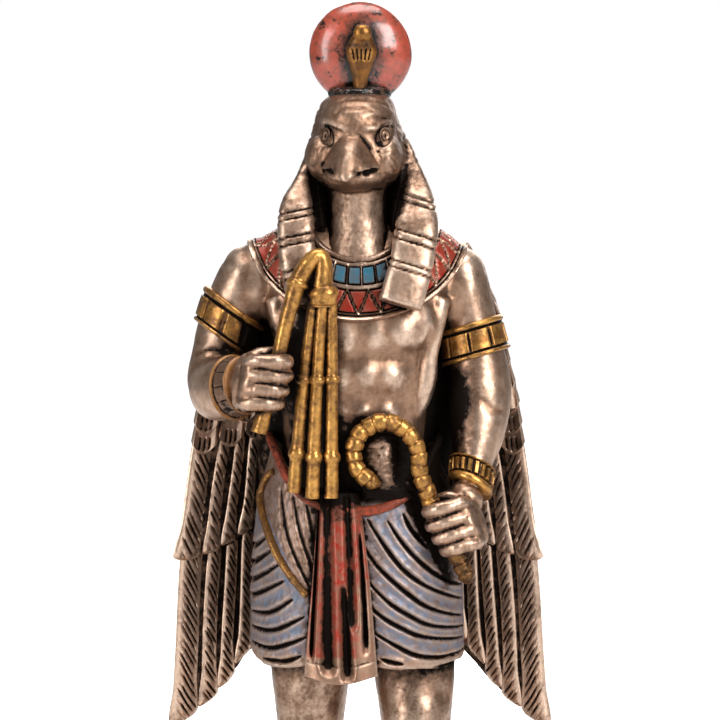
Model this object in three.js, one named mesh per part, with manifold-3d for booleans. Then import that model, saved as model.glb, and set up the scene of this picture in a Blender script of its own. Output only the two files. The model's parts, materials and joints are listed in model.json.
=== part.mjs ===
// Falcon-headed sun god, a small figurine cast in bronze resin, standing on a low base.
// Millimetres, +Z up. The figure looks along -Y, and its own right hand is on the -X side.
// The origin is under the middle of the base.

import * as THREE from "three";
import { mergeVertices } from "three/addons/utils/BufferGeometryUtils.js";
import Module from "manifold-3d";

const wasm = await Module();
wasm.setup();

// Driving dimensions
const BASE = { width: 38, depth: 28, height: 4.5, chamfer: 0.7 };
const DISC = { radius: 4.6, halfDepth: 2.1, x: 0.3, y: 0.6, z: 84.2 };
const HEAD_TURN = -6;
const BACK_OF_WINGS = { top: 4.9, middle: 7.6, bottom: 8.6 };
const WING_BOW = 5.2;
const WING_REACH = 16;
const KNEE_LEVEL = 23;
const COLLAR = { wide: 9.9, deep: 9.5, drop: 8.6, z: 68.9, thickness: 0.45 };
const CROOK = { radius: 0.88, hookRadius: 2.9, hookX: 2.45, hookY: -6.9, hookZ: 48.6 };

// Along a limb or column, each station is [x, y, z, half width, half depth].
const TORSO = [
  [0, 0.6, 41.0, 7.4, 5.4],
  [-0.2, 0.3, 45.5, 7.1, 5.3],
  [-0.3, 0, 49.5, 6.5, 4.9],
  [-0.3, -0.1, 53.5, 6.6, 5.2],
  [-0.1, -0.2, 57.5, 7.3, 5.6],
  [0, 0, 61.0, 8.4, 5.9],
  [0, 0.4, 64.5, 9.2, 5.2],
  [0, 0.8, 67.1, 8.7, 4.1],
  [0, 1.2, 68.9, 5.8, 3.1],
  [0, 1.4, 70.6, 2.7, 2.2],
];
// The muscles either side of the navel: forward, level and how far they swell.
const BELLY = [
  [-4.9, 57.2, 0.5],
  [-4.8, 55.5, 1.0],
  [-4.7, 54.0, 0.6],
  [-4.6, 52.3, 1.0],
  [-4.5, 50.8, 0.6],
  [-4.6, 49.3, 0.95],
  [-4.8, 47.6, 0.5],
];
const NECK = [
  [0, -0.2, 64.5, 3.8, 3.9],
  [0, -0.5, 67.0, 2.9, 3.3],
  [-0.1, -0.9, 70.0, 2.5, 2.9],
  [-0.1, -1.4, 74.0, 2.8, 3.0],
];
const COLLAR_OPENING = [
  [0, -1.6, 64.6, 3.9, 4.6],
  [0, -0.2, 68.4, 4.4, 4.4],
  [0, -0.2, 72.0, 5.2, 4.6],
];
const RIGHT_UPPER_ARM = [
  [-10.4, 0.2, 64.2, 2.6, 2.9],
  [-11.6, 0.1, 60.0, 2.7, 2.9],
  [-12.5, 0, 57.0, 2.5, 2.7],
  [-13.1, -0.3, 54.6, 2.3, 2.6],
  [-13.1, -0.7, 52.6, 1.5, 1.8],
];
const RIGHT_FOREARM = [
  [-13.2, -0.2, 54.4, 2.0, 2.3],
  [-12.6, -2.4, 54.2, 2.5, 2.8],
  [-11.5, -4.8, 54.4, 2.2, 2.6],
  [-10.3, -6.9, 54.8, 1.7, 2.1],
  [-9.3, -8.3, 55.0, 1.6, 2.0],
];
const LEFT_ARM = [
  [10.0, 0.2, 64.2, 2.7, 3.0],
  [10.6, 0.1, 59.6, 2.8, 3.0],
  [10.8, -0.1, 56.0, 2.8, 2.9],
  [10.9, -0.6, 53.2, 2.9, 3.0],
  [10.8, -1.7, 50.0, 2.5, 2.6],
  [10.3, -2.9, 47.2, 1.8, 2.0],
  [9.9, -3.9, 45.0, 1.7, 1.9],
];
// Where a band sits on its limb, counted in stations, and how proud it stands.
const RIGHT_ARMBAND = { from: 0.65, to: 1.4, proud: 0.5 };
const RIGHT_CUFF = { from: 2.4, to: 3.3, proud: 0.45 };
const LEFT_BANDS = [
  { from: 0.85, to: 1.55, proud: 0.45 },
  { from: 4.75, to: 5.55, proud: 0.45 },
];
const RIGHT_LEG = [
  [-4.5, 0.6, 34.0, 4.0, 4.5],
  [-4.3, 0.6, 28.0, 3.5, 4.0],
  [-4.3, 0.4, KNEE_LEVEL + 1.5, 3.1, 3.4],
  [-4.3, 0.5, KNEE_LEVEL - 2, 2.8, 3.1],
  [-4.4, 1.3, 16.0, 2.9, 3.4],
  [-4.5, 1.5, 10.5, 1.9, 2.3],
  [-4.6, 1.5, 7.2, 1.8, 2.2],
  [-4.6, 1.4, BASE.height, 1.9, 2.4],
];
const LEFT_LEG = [
  [4.9, 0.4, 34.0, 4.0, 4.5],
  [5.1, -0.4, 28.0, 3.6, 4.0],
  [5.2, -1.4, KNEE_LEVEL + 1.5, 3.2, 3.5],
  [5.2, -1.7, KNEE_LEVEL - 2, 2.9, 3.1],
  [5.2, -1.6, 16.0, 3.0, 3.4],
  [5.2, -1.9, 10.5, 2.0, 2.3],
  [5.2, -2.1, 7.2, 1.8, 2.2],
  [5.2, -2.2, BASE.height, 1.9, 2.4],
];
// From the heel to the toes, each station is [across, forward, up, half width, half height].
const FOOT = [
  [0, -2.3, 1.3, 1.3, 1.1],
  [0, -0.6, 1.9, 1.8, 1.9],
  [0.1, 2.2, 1.6, 2.0, 1.7],
  [0.2, 4.8, 1.0, 2.3, 1.1],
  [0.2, 6.4, 0.5, 2.2, 0.6],
];
// Toes: [how far forward, height of a toe, height between two toes, how much further back between].
const TOES = { count: 5, halfWidth: 2.35, slant: 1.3 };
const TOE_LENGTH = [
  [4.6, 1.9, 1.7, 0],
  [6.9, 1.25, 0.6, 0],
  [7.9, 0.5, 0.3, 0.9],
];
const KILT = [
  [-0.3, 0.3, 48.6, 7.6, 5.6],
  [-0.3, 0.2, 44.6, 8.7, 6.3],
  [-0.1, 0.0, 37.0, 9.5, 7.3],
  [-0.1, 0.0, 29.4, 9.6, 7.5],
];
// The belt's middle dips from the sides to the front.
const BELT = { side: 47.4, front: 44.8, halfHeight: 0.6, proud: 0.5 };
const SASH = [
  [-1.7, -6.3, 45.0, 1.8],
  [-1.6, -7.3, 42.0, 2.1],
  [-1.5, -8.0, 37.0, 2.6],
  [-1.5, -8.4, 32.0, 3.1],
  [-1.5, -8.6, 27.9, 3.5],
];
const HEADCLOTH = [
  [0.1, 0.3, 81.2, 1.6, 2.0],
  [0.2, 0.4, 80.4, 2.9, 3.4],
  [0.2, 0.7, 77.8, 3.9, 4.5],
  [0.3, 1.0, 74.8, 4.9, 4.8],
  [0.2, 1.2, 72.6, 5.8, 4.7],
  [0.1, 1.5, 70.4, 6.7, 4.6],
  [0, 1.8, 68.6, 7.2, 4.6],
  [0, 2.2, 66.8, 6.2, 4.4],
];
const LAPPET = [
  [3.8, -1.0, 76.2, 0.8, 0.8],
  [4.7, -2.5, 72.8, 1.3, 1.0],
  [5.2, -4.8, 69.2, 1.9, 1.0],
  [4.9, -6.2, 65.6, 2.0, 1.0],
  [4.0, -7.0, 61.9, 2.0, 1.0],
];
const HEADCLOTH_TAIL = [
  [0, 4.6, 71.0, 4.4, 1.6],
  [0, 5.8, 67.5, 3.0, 1.4],
  [0, 7.4, 64.0, 1.9, 1.2],
  [0, 8.6, 60.5, 1.6, 1.0],
];
const FACE = [
  [0, -0.2, 81.0, 1.9, 2.0],
  [0, -0.6, 80.0, 2.9, 3.4],
  [0, -0.9, 78.2, 3.4, 4.2],
  [0, -1.2, 76.4, 3.7, 4.3],
  [0, -1.4, 74.7, 4.3, 4.6],
  [0, -1.5, 73.2, 3.8, 4.0],
  [0, -1.5, 72.2, 2.7, 3.2],
];
const BEAK = [
  [0, -3.4, 75.4, 2.7, 1.9],
  [0, -5.2, 75.2, 2.3, 1.7],
  [0, -6.9, 74.7, 1.5, 1.35],
  [0, -8.0, 74.0, 0.85, 1.0],
  [0, -8.5, 73.2, 0.35, 0.5],
];
const COBRA = [
  [0.2, -1.5, 81.4, 0.75, 0.9],
  [0.2, -1.7, 83.2, 0.8, 0.8],
  [0.2, -2.0, 84.8, 1.15, 0.7],
  [0.2, -2.1, 86.0, 1.1, 0.7],
  [0.2, -2.3, 87.0, 0.65, 0.8],
];
const FLAIL_HANDLE = [
  [-8.6, -10.2, 50.8, 0.75, 0.75],
  [-7.4, -10.3, 55.0, 0.62, 0.62],
  [-5.9, -9.8, 61.2, 0.68, 0.68],
  [-4.9, -9.3, 64.6, 0.85, 0.85],
  [-4.1, -9.1, 66.2, 0.85, 0.85],
  [-3.2, -9.0, 66.1, 0.85, 0.85],
  [-2.9, -9.0, 65.0, 0.88, 0.88],
  [-2.9, -9.0, 63.5, 0.95, 0.95],
  [-3.1, -8.9, 63.1, 1.35, 1.2],
  [-3.1, -8.8, 62.3, 1.35, 1.2],
  [-3.1, -8.7, 61.9, 1.0, 0.9],
];
const STRAND = { radius: 0.6 };
const STRAND_BANDS = [{ from: 0.92, to: 1.02, proud: 0.2 }, { from: 1.5, to: 1.6, proud: 0.2 }];
const STRANDS = [
  [[-3.8, -8.5, 62.6], [-4.7, -8.0, 55.4], [-5.7, -7.4, 45.4]],
  [[-3.1, -8.8, 62.6], [-3.6, -8.3, 55.4], [-4.1, -7.7, 44.9]],
  [[-2.4, -8.5, 62.6], [-2.4, -8.0, 55.4], [-2.5, -7.4, 44.9]],
];
// The cast filler between the strands and the body.
const FLAIL_WEB = [
  [-3.1, -7.0, 63.3, 1.3, 1.9],
  [-3.6, -6.3, 55.4, 1.6, 1.9],
  [-4.1, -5.8, 45.6, 2.0, 1.9],
];
const CROOK_STAFF = [
  [9.9, -7.0, 37.2],
  [9.0, -6.8, 39.4],
  [7.7, -6.7, 42.4],
  [6.6, -6.8, 44.7],
  [5.8, -6.9, 46.8],
  [5.6, -6.9, 48.8],
];
const FEATHERS_PER_ROW = 7;
// A row's feathers run from root to tip, each given at the spine and at the outer edge.
const FEATHER_ROWS = [
  { root: [50, 46], tip: [37.0, 23.4], reach: [14.6, 17.8], thick: 0.75, groove: 0.45 },
  { root: [58, 54], tip: [46.5, 38.2], reach: [14.6, 17.3], thick: 1.15, groove: 0.35 },
  { root: [63, 58], tip: [54.5, 48.0], reach: [13.8, 16.0], thick: 1.5, groove: 0.35 },
  { root: [67.5, 63.5], tip: [60.5, 55.4], reach: [10.8, 14.6], thick: 1.85, groove: 0.35 },
];
// Along a feather: [share of its length, share of its thickness, how far the notch beside it reaches].
const FEATHER_LENGTH = [
  [0, 0.8, 1],
  [0.85, 1, 0.98],
  [1, 0.4, 0.92],
];
const WING_CORE = [
  [0, 3.0, 66.6, 9.2, 3.0],
  [0, 3.1, 60.0, 10.3, 4.3],
  [0, 4.0, 46.0, 10.0, 4.0],
  [0, 4.3, 33.0, 9.4, 4.0],
];
// How far the fingers lie up the grip from the middle of the hand, and how long each is.
const FINGERS = [
  { rise: 2.25, length: 0.92 },
  { rise: 0.78, length: 1 },
  { rise: -0.72, length: 0.92 },
  { rise: -2.15, length: 0.8 },
];
const KILT_TRIM = [[-172, 46.2], [-155, 42.9], [-139, 39.6], [-125, 37.1], [-115, 35.1]];

// Smooth value on the curve through a list of stations, t counted in stations.
function between(stations, t) {
  const last = stations.length - 1;
  const index = Math.min(Math.floor(t), last - 1);
  const f = t - index;
  const at = (k) => stations[THREE.MathUtils.clamp(index + k, 0, last)];
  return at(0).map((value, c) => {
    const before = at(-1)[c];
    const next = at(1)[c];
    const after = at(2)[c];
    return (
      value +
      0.5 * f * (next - before + f * (2 * before - 5 * value + 4 * next - after +
        f * (3 * (value - next) + after - before)))
    );
  });
}

// A closed skin over rings that all have the same number of points.
function skin(rings) {
  const sides = rings[0].length;
  const points = rings.flat();
  const faces = [];
  for (let r = 0; r < rings.length - 1; r++) {
    for (let s = 0; s < sides; s++) {
      const a = r * sides + s;
      const b = r * sides + ((s + 1) % sides);
      faces.push([a, b, b + sides], [a, b + sides, a + sides]);
    }
  }
  for (const [ring, flip] of [[0, true], [rings.length - 1, false]]) {
    const centre = rings[ring]
      .reduce((sum, p) => sum.add(p), new THREE.Vector3())
      .divideScalar(sides);
    points.push(centre);
    for (let s = 0; s < sides; s++) {
      const a = ring * sides + s;
      const b = ring * sides + ((s + 1) % sides);
      faces.push(flip ? [b, a, points.length - 1] : [a, b, points.length - 1]);
    }
  }
  return outward(points, faces);
}

// Turns the faces outwards if they enclose a negative volume.
function outward(points, faces) {
  const volume = faces.reduce(
    (sum, [a, b, c]) => sum + points[a].dot(points[b].clone().cross(points[c])),
    0,
  );
  const turned = volume > 0 ? faces : faces.map(([a, b, c]) => [a, c, b]);
  return new THREE.BufferGeometry().setFromPoints(points).setIndex(turned.flat());
}

// A limb or column: rings of superellipse section along a path of stations.
function limb(stations, options = {}) {
  const { sides = 8, steps = 1, facing = [0, -1, 0], square = 2, level = false, round = 0 } = options;
  const last = stations.length - 1;
  const toward = new THREE.Vector3(...facing);
  const place = (t) => new THREE.Vector3(...between(stations, t));
  const ringAt = (t, swell = 1, push = 0) => {
    const [, , , wide, deep] = between(stations, t);
    const along = level
      ? new THREE.Vector3(0, 0, 1)
      : place(Math.min(t + 0.05, last)).sub(place(Math.max(t - 0.05, 0))).normalize();
    const across = new THREE.Vector3().crossVectors(along, toward).normalize();
    const front = new THREE.Vector3().crossVectors(across, along);
    const middle = place(t).addScaledVector(along, push);
    return Array.from({ length: sides }, (_, s) => {
      const angle = (2 * Math.PI * s) / sides;
      const c = Math.cos(angle);
      const n = Math.sin(angle);
      const u = Math.sign(c) * Math.abs(c) ** (2 / square) * wide * swell;
      const v = Math.sign(n) * Math.abs(n) ** (2 / square) * deep * swell;
      return middle.clone().addScaledVector(across, u).addScaledVector(front, v);
    });
  };
  const rings = Array.from({ length: last * steps + 1 }, (_, i) => ringAt(i / steps));
  if (round > 0) {
    rings.unshift(ringAt(0, 0.6, -round));
    rings.push(ringAt(last, 0.6, round));
  }
  return solid(skin(rings));
}

// A thin leaf between two grids of points that lie face to face, closed along all four edges.
function leaf(front, back) {
  const rows = front.length;
  const columns = front[0].length;
  const rings = front.map((line, r) => [...line, ...back[r].slice().reverse()]);
  const points = rings.flat();
  const sides = 2 * columns;
  const faces = [];
  for (let r = 0; r < rows - 1; r++) {
    for (let s = 0; s < sides; s++) {
      const a = r * sides + s;
      const b = r * sides + ((s + 1) % sides);
      faces.push([a, b, b + sides], [a, b + sides, a + sides]);
    }
  }
  for (let c = 0; c < columns - 1; c++) {
    const far = (rows - 1) * sides;
    faces.push([c + 1, c, sides - 1 - c], [c + 1, sides - 1 - c, sides - 2 - c]);
    faces.push([far + c, far + c + 1, far + sides - 2 - c], [far + c, far + sides - 2 - c, far + sides - 1 - c]);
  }
  return solid(outward(points, faces));
}

// An egg or muscle: a sphere stretched to three radii, then turned.
function ball(centre, radii, options = {}) {
  const { wide = 8, high = 5, turn = [0, 0, 0] } = options;
  const geometry = new THREE.SphereGeometry(1, wide, high)
    .rotateX(Math.PI / 2)
    .scale(...radii)
    .applyMatrix4(new THREE.Matrix4().makeRotationFromEuler(new THREE.Euler(...turn)))
    .translate(...centre);
  return solid(geometry);
}

function solid(geometry) {
  const bare = new THREE.BufferGeometry().setAttribute("position", geometry.getAttribute("position"));
  bare.setIndex(geometry.getIndex());
  const merged = mergeVertices(bare, 1e-4);
  return new wasm.Manifold(
    new wasm.Mesh({
      numProp: 3,
      vertProperties: merged.attributes.position.array,
      triVerts: new Uint32Array(merged.index.array),
    }),
  );
}

function join(solids) {
  return solids.reduce((whole, one) => whole.add(one));
}

function geometryOf(manifold) {
  const mesh = manifold.getMesh();
  return new THREE.BufferGeometry()
    .setAttribute("position", new THREE.BufferAttribute(mesh.vertProperties, 3))
    .setIndex(new THREE.BufferAttribute(mesh.triVerts, 1));
}

const mirrored = (stations) => stations.map(([x, ...rest]) => [-x, ...rest]);
const BOTH = [-1, 1];

// Torso stations grown outwards, for the body itself and for what is worn on it.
const grownTorso = (stations, by) =>
  limb(stations.map(([x, y, z, wide, deep]) => [x, y, z, wide + by, deep + by]), {
    sides: 14, level: true, square: 2.3,
  });

function chestMuscles(by) {
  return BOTH.flatMap((side) => [
    ball([side * 3.6, -3.7, 60.2], [3.9 + by, 2.5 + by, 3.0 + by], { high: 6 }),
    ball([side * 9.7, 0.3, 63.6], [3.3 + by, 3.3 + by, 4.2 + by], { high: 6, turn: [0, -side * 0.35, 0] }),
  ]);
}

function torso() {
  const forms = [grownTorso(TORSO, 0), ...chestMuscles(0)];
  for (const side of BOTH) {
    forms.push(limb(BELLY.map(([y, z, swell]) => [side * 1.7 - 0.3, y, z, 1.8 * swell, swell]), { sides: 6, level: true }));
  }
  return join(forms);
}

// Adds the stations of raised bands to a limb, leaving out its own stations under them.
function banded(stations, bands) {
  const edge = 0.05;
  const free = stations
    .map((station, t) => ({ t, station }))
    .filter(({ t }) => bands.every(({ from, to }) => t < from || t > to));
  const raised = bands.flatMap(({ from, to, proud }) =>
    [[from, 0], [from + edge, proud], [to - edge, proud], [to, 0]].map(([t, swell]) => {
      const [x, y, z, wide, deep] = between(stations, t);
      return { t, station: [x, y, z, wide + swell, deep + swell] };
    }),
  );
  return [...free, ...raised].sort((a, b) => a.t - b.t).map(({ station }) => station);
}

function arms() {
  return join([
    limb(banded(RIGHT_UPPER_ARM, [RIGHT_ARMBAND]), { sides: 9 }),
    limb(banded(RIGHT_FOREARM, [RIGHT_CUFF]), { facing: [0, 0, 1] }),
    limb(banded(LEFT_ARM, LEFT_BANDS), { sides: 9 }),
  ]);
}

// A closed fist. Its fingers lie side by side along the grip, run along reach, and bulge outwards.
function fist({ centre, grip, reach }) {
  const up = new THREE.Vector3(...grip).normalize();
  const along = new THREE.Vector3(...reach).normalize();
  const out = new THREE.Vector3().crossVectors(along, up).normalize();
  out.multiplyScalar(-Math.sign(out.y));
  const local = (a, o, g) =>
    new THREE.Vector3(...centre)
      .addScaledVector(along, a)
      .addScaledVector(out, o)
      .addScaledVector(up, g)
      .toArray();
  const forms = FINGERS.map(({ rise, length }) =>
    limb(
      [
        [...local(-1.8, 0.5, rise), 0.86, 0.8],
        [...local(1.2 * length, 1.2, rise), 0.82, 0.75],
        [...local(2.4 * length, 0.2, rise), 0.72, 0.7],
        [...local(1.6 * length, -1.0, rise), 0.6, 0.6],
      ],
      { sides: 5, facing: grip },
    ),
  );
  const palm = [[-1.5, -0.5, -2.6, 1.3, 1.7], [-1.2, -0.3, 0, 1.7, 2.1], [-1.5, -0.5, 2.7, 1.3, 1.7]];
  forms.push(limb(palm.map(([a, o, g, wide, deep]) => [...local(a, o, g), wide, deep]), { facing: reach }));
  return join(forms);
}

// The broad collar: chest and shoulders grown a little, kept inside an egg about the neck.
function collar() {
  const reach = ball([0, 0, COLLAR.z], [COLLAR.wide, COLLAR.deep, COLLAR.drop], { wide: 20, high: 8 });
  const opening = limb(COLLAR_OPENING, { sides: 10, level: true });
  return join([grownTorso(TORSO.slice(4), COLLAR.thickness), ...chestMuscles(COLLAR.thickness)])
    .intersect(reach)
    .subtract(opening)
    .add(grownTorso(TORSO.slice(5), 0));
}

function headcloth() {
  const hollow = [
    [0, -3.4, 66.2, 2.9, 3.6],
    [0, -3.4, 70.0, 3.3, 3.6],
    [0, -3.4, 73.6, 3.9, 3.4],
    [0, -3.4, 76.0, 3.4, 2.4],
  ];
  return join([
    limb(HEADCLOTH, { sides: 12, level: true }),
    limb(LAPPET, { square: 3 }),
    limb(mirrored(LAPPET), { square: 3 }),
    limb(HEADCLOTH_TAIL, { square: 2.6 }),
  ]).subtract(limb(hollow, { sides: 8, level: true }));
}

function head() {
  const forms = [
    limb(FACE, { sides: 12, level: true, square: 2.2 }),
    limb(BEAK, { facing: [0, 0, 1] }),
    ball([0, -3.8, 73.4], [2.6, 2.2, 1.5]),
  ];
  for (const side of BOTH) {
    forms.push(ball([side * 1.6, -4.8, 78.0], [1.9, 0.7, 0.6], { wide: 6, high: 4, turn: [0, -side * 0.5, side * 0.35] }));
    forms.push(ball([side * 2.4, -4.4, 76.9], [0.85, 0.8, 0.9], { wide: 6, high: 4 }));
    forms.push(ball([side * 3.2, -2.7, 74.6], [1.3, 2.0, 1.8], { wide: 6, high: 4 }));
  }
  const turned = join(forms).rotate([0, 0, HEAD_TURN]).translate([0.1, 0, 0]);
  return join([turned, limb(NECK, { sides: 10, level: true })]);
}

function crown() {
  const { x, y, z, radius, halfDepth } = DISC;
  const profile = [-75, -45, -15, 15, 45, 75].map((degrees) => {
    const angle = THREE.MathUtils.degToRad(degrees);
    const ring = (radius * Math.cos(angle)) / Math.cos(Math.PI / 12);
    return [x, y + halfDepth * Math.sin(angle), z, ring, ring];
  });
  return join([
    limb(profile, { sides: 28, facing: [0, 0, 1] }),
    limb(COBRA, { sides: 6, round: 0.3 }),
  ]);
}

function flail() {
  const strands = STRANDS.map((path) => {
    const round = path.map((p) => [...p, STRAND.radius, STRAND.radius]);
    return limb(banded(round, STRAND_BANDS), { sides: 6 });
  });
  return join([
    limb(FLAIL_HANDLE, { sides: 6 }),
    limb(FLAIL_WEB, { sides: 6, level: true, square: 4 }),
    ...strands,
  ]);
}

function crook() {
  const first = THREE.MathUtils.degToRad(12);
  const last = THREE.MathUtils.degToRad(248);
  const turns = 8;
  const hook = Array.from({ length: turns + 1 }, (_, i) => {
    const angle = first + ((last - first) * i) / turns;
    return [
      CROOK.hookX + CROOK.hookRadius * Math.cos(angle),
      CROOK.hookY,
      CROOK.hookZ + CROOK.hookRadius * Math.sin(angle),
    ];
  });
  const path = [...CROOK_STAFF, ...hook.slice(1)].map((p) => [...p, CROOK.radius, CROOK.radius]);
  return join([limb(path, { round: 0.3 }), ball([3.2, -4.6, 47.6], [3.4, 2.0, 3.6], { high: 4 })]);
}

// A point on the kilt's skin: angle runs round the body from its left side, -90 degrees is the front.
function onKilt(angle, z, proud) {
  const below = KILT.findIndex((station) => station[2] < z);
  const index = below < 0 ? KILT.length - 2 : Math.max(below - 1, 0);
  const f = (KILT[index][2] - z) / (KILT[index][2] - KILT[index + 1][2]);
  const [x, y, , wide, deep] = between(KILT, index + THREE.MathUtils.clamp(f, 0, 1));
  const power = 2 / 2.4;
  const c = Math.cos(angle);
  const n = Math.sin(angle);
  return [
    x + Math.sign(c) * Math.abs(c) ** power * (wide + proud),
    y + Math.sign(n) * Math.abs(n) ** power * (deep + proud),
    z,
  ];
}

// A V-shaped groove cut along a line on the kilt, given as [degrees round the body, level] pairs.
function pleat(...line) {
  const path = line.map(([degrees, z]) => [...onKilt(THREE.MathUtils.degToRad(degrees), z, 0.15), 0.34, 0.5]);
  return limb(path, { sides: 4, facing: [0, -1, 0.01] });
}

function kilt() {
  const grooves = [];
  for (let i = 0; i < 6; i++) {
    grooves.push(pleat([-84, 43.8 - 2.6 * i], [-58, 38.4 - 1.9 * i], [-25, 34.2 - 1.0 * i]));
  }
  for (let i = 0; i < 5; i++) {
    grooves.push(pleat([-168, 38.9 - 1.75 * i], [-150 + i, 39.1 - 1.8 * i], [-136 + 4 * i, 40.2 - 1.85 * i]));
  }
  for (const degrees of [-130, -115]) {
    grooves.push(pleat([degrees - 6, 45.2], [degrees + 2, 41.5], [degrees + 13, 37.4]));
  }
  const ring = (proud, levelAt) =>
    Array.from({ length: 18 }, (_, i) => {
      const angle = (2 * Math.PI * i) / 18;
      return new THREE.Vector3(...onKilt(angle, levelAt(angle), proud));
    });
  const belt = (rise) => (angle) => {
    const front = Math.max(0, -Math.sin(angle)) ** 2;
    return THREE.MathUtils.lerp(BELT.side, BELT.front, front) + rise * BELT.halfHeight;
  };
  const flat = (z) => () => z;
  const cloth = skin([
    ring(0, flat(KILT[0][2])),
    ring(0, belt(1)),
    ring(BELT.proud, belt(0.9)),
    ring(BELT.proud, belt(-0.9)),
    ring(0, belt(-1)),
    ring(0, flat(KILT[2][2])),
    ring(0, flat(KILT[3][2])),
  ]);
  const trim = KILT_TRIM.map(([degrees, z]) => [...onKilt(THREE.MathUtils.degToRad(degrees), z, 0.1), 0.35, 0.4]);
  return join([
    solid(cloth).subtract(join(grooves)),
    limb(trim, { sides: 4, facing: [0, 0, 1] }),
  ]);
}

function sash() {
  const across = 12;
  const front = SASH.map(([x, y, z, half], row) => {
    const depth = 0.35 + 0.13 * row;
    return Array.from({ length: across + 1 }, (_, i) => {
      const u = (2 * i) / across - 1;
      const fold = i % 3 === 0 ? 0 : 1;
      return new THREE.Vector3(x + u * half, y + 0.4 * u * u - depth * fold, z + 0.3 * Math.abs(u));
    });
  });
  const back = front.map((line, row) => line.map((p) => new THREE.Vector3(p.x, SASH[row][1] + 2.4, p.z)));
  return join([leaf(front, back), ball([-1.4, -6.4, 44.9], [2.1, 0.8, 0.9])]);
}

function legs() {
  const forms = [];
  for (const [leg, side] of [[RIGHT_LEG, -1], [LEFT_LEG, 1]]) {
    const [x, y] = leg[leg.length - 1];
    const place = (across, forward, up) => [
      x + side * (across + 0.12 * forward), y - forward, BASE.height + up,
    ];
    const foot = FOOT.map(([across, forward, up, wide, high]) => [...place(across, forward, up), wide, high]);
    forms.push(limb(leg, { sides: 9, level: true }));
    forms.push(limb(foot, { facing: [0, 0, 1] }));
    const toes = (height) =>
      TOE_LENGTH.map(([forward, top, dip, shorter]) =>
        Array.from({ length: 2 * TOES.count + 1 }, (_, i) => {
          const between = i % 2 === 0;
          const s = i / TOES.count - 1;
          const reach = forward - TOES.slant * 0.5 * (s + 1) - (between ? shorter : 0);
          return new THREE.Vector3(...place(s * TOES.halfWidth, reach, height * (between ? dip : top)));
        }),
      );
    forms.push(leaf(toes(1), toes(0)));
  }
  const ground = new THREE.BoxGeometry(BASE.width, BASE.depth, BASE.height).translate(0, 0, BASE.height / 2);
  return join(forms).subtract(solid(ground));
}

// The middle of the wings' thickness, at a distance from the spine and a level.
function wingDepth(x, z) {
  const back = z > 50
    ? THREE.MathUtils.mapLinear(z, 50, 67, BACK_OF_WINGS.middle, BACK_OF_WINGS.top)
    : THREE.MathUtils.mapLinear(z, 50, 25, BACK_OF_WINGS.middle, BACK_OF_WINGS.bottom);
  return back - WING_BOW * (x / WING_REACH) ** 2;
}

// One row of feathers on one wing: a leaf with a ridge along every feather, notched between the tips.
function featherRow(row, side) {
  const columns = 2 * FEATHERS_PER_ROW + 1;
  const grid = (face) =>
    FEATHER_LENGTH.map(([t, ridge, notch]) =>
      Array.from({ length: columns }, (_, i) => {
        const s = i / (columns - 1);
        const crest = i % 2 === 1;
        const shade = THREE.MathUtils.clamp(s, 0, 1) ** 1.15;
        const reach = crest ? t : t * notch;
        const rootZ = THREE.MathUtils.lerp(row.root[0], row.root[1], shade);
        const tipZ = THREE.MathUtils.lerp(row.tip[0], row.tip[1], shade);
        const z = THREE.MathUtils.lerp(rootZ, tipZ, reach);
        const x = s * THREE.MathUtils.lerp(row.reach[0], row.reach[1], reach) - 0.3;
        const half = ridge * (crest ? row.thick : row.thick - row.groove);
        return new THREE.Vector3(side * x, wingDepth(x, z) + face * half, z);
      }),
    );
  return leaf(grid(-1), grid(1));
}

function wings() {
  const forms = BOTH.flatMap((side) => FEATHER_ROWS.map((row) => featherRow(row, side)));
  forms.push(limb(WING_CORE, { level: true, square: 3 }));
  return join(forms);
}

function figure() {
  const hands = [
    fist({ centre: [-8.2, -9.3, 55.2], grip: [0.16, 0, 1], reach: [1, -0.1, 0] }),
    fist({ centre: [8.5, -6.1, 42.3], grip: [-0.36, 0, 0.93], reach: [-0.95, -0.2, -0.25] }),
  ];
  return join([
    torso(), arms(), ...hands, collar(), headcloth(), head(), crown(),
    flail(), crook(), kilt(), sash(), legs(), wings(),
  ]);
}

function base() {
  const { width, depth, height, chamfer } = BASE;
  const outline = new THREE.Shape()
    .moveTo(-width / 2 + chamfer, -depth / 2 + chamfer)
    .lineTo(width / 2 - chamfer, -depth / 2 + chamfer)
    .lineTo(width / 2 - chamfer, depth / 2 - chamfer)
    .lineTo(-width / 2 + chamfer, depth / 2 - chamfer);
  const slab = new THREE.ExtrudeGeometry(outline, {
    depth: height - 2 * chamfer,
    bevelThickness: chamfer,
    bevelSize: chamfer,
    bevelSegments: 2,
  });
  return slab.translate(0, 0, chamfer);
}

const bronze = new THREE.MeshStandardMaterial({ color: 0x8a6a4e, roughness: 0.38, metalness: 0.85 });
const darkBronze = new THREE.MeshStandardMaterial({ color: 0x54402f, roughness: 0.45, metalness: 0.8 });

const figurine = new THREE.Group();
const figureMesh = new THREE.Mesh(geometryOf(figure()), bronze);
figureMesh.name = "figure";
const baseMesh = new THREE.Mesh(base(), darkBronze);
baseMesh.name = "base";
figurine.add(figureMesh, baseMesh);

export default figurine;
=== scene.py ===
"""Models and finishes a small cold-cast bronze figurine of a falcon-headed sun god around its solids.

Pieces are shaped in millimetres, +Z up, the figure looking along -Y, and settled in metres when finished.
"""

import json
import math

import bpy
import numpy as np
from bpy.props import FloatProperty, FloatVectorProperty, IntProperty, PointerProperty
from mathutils import Matrix, Vector
from mathutils.bvhtree import BVHTree

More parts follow.
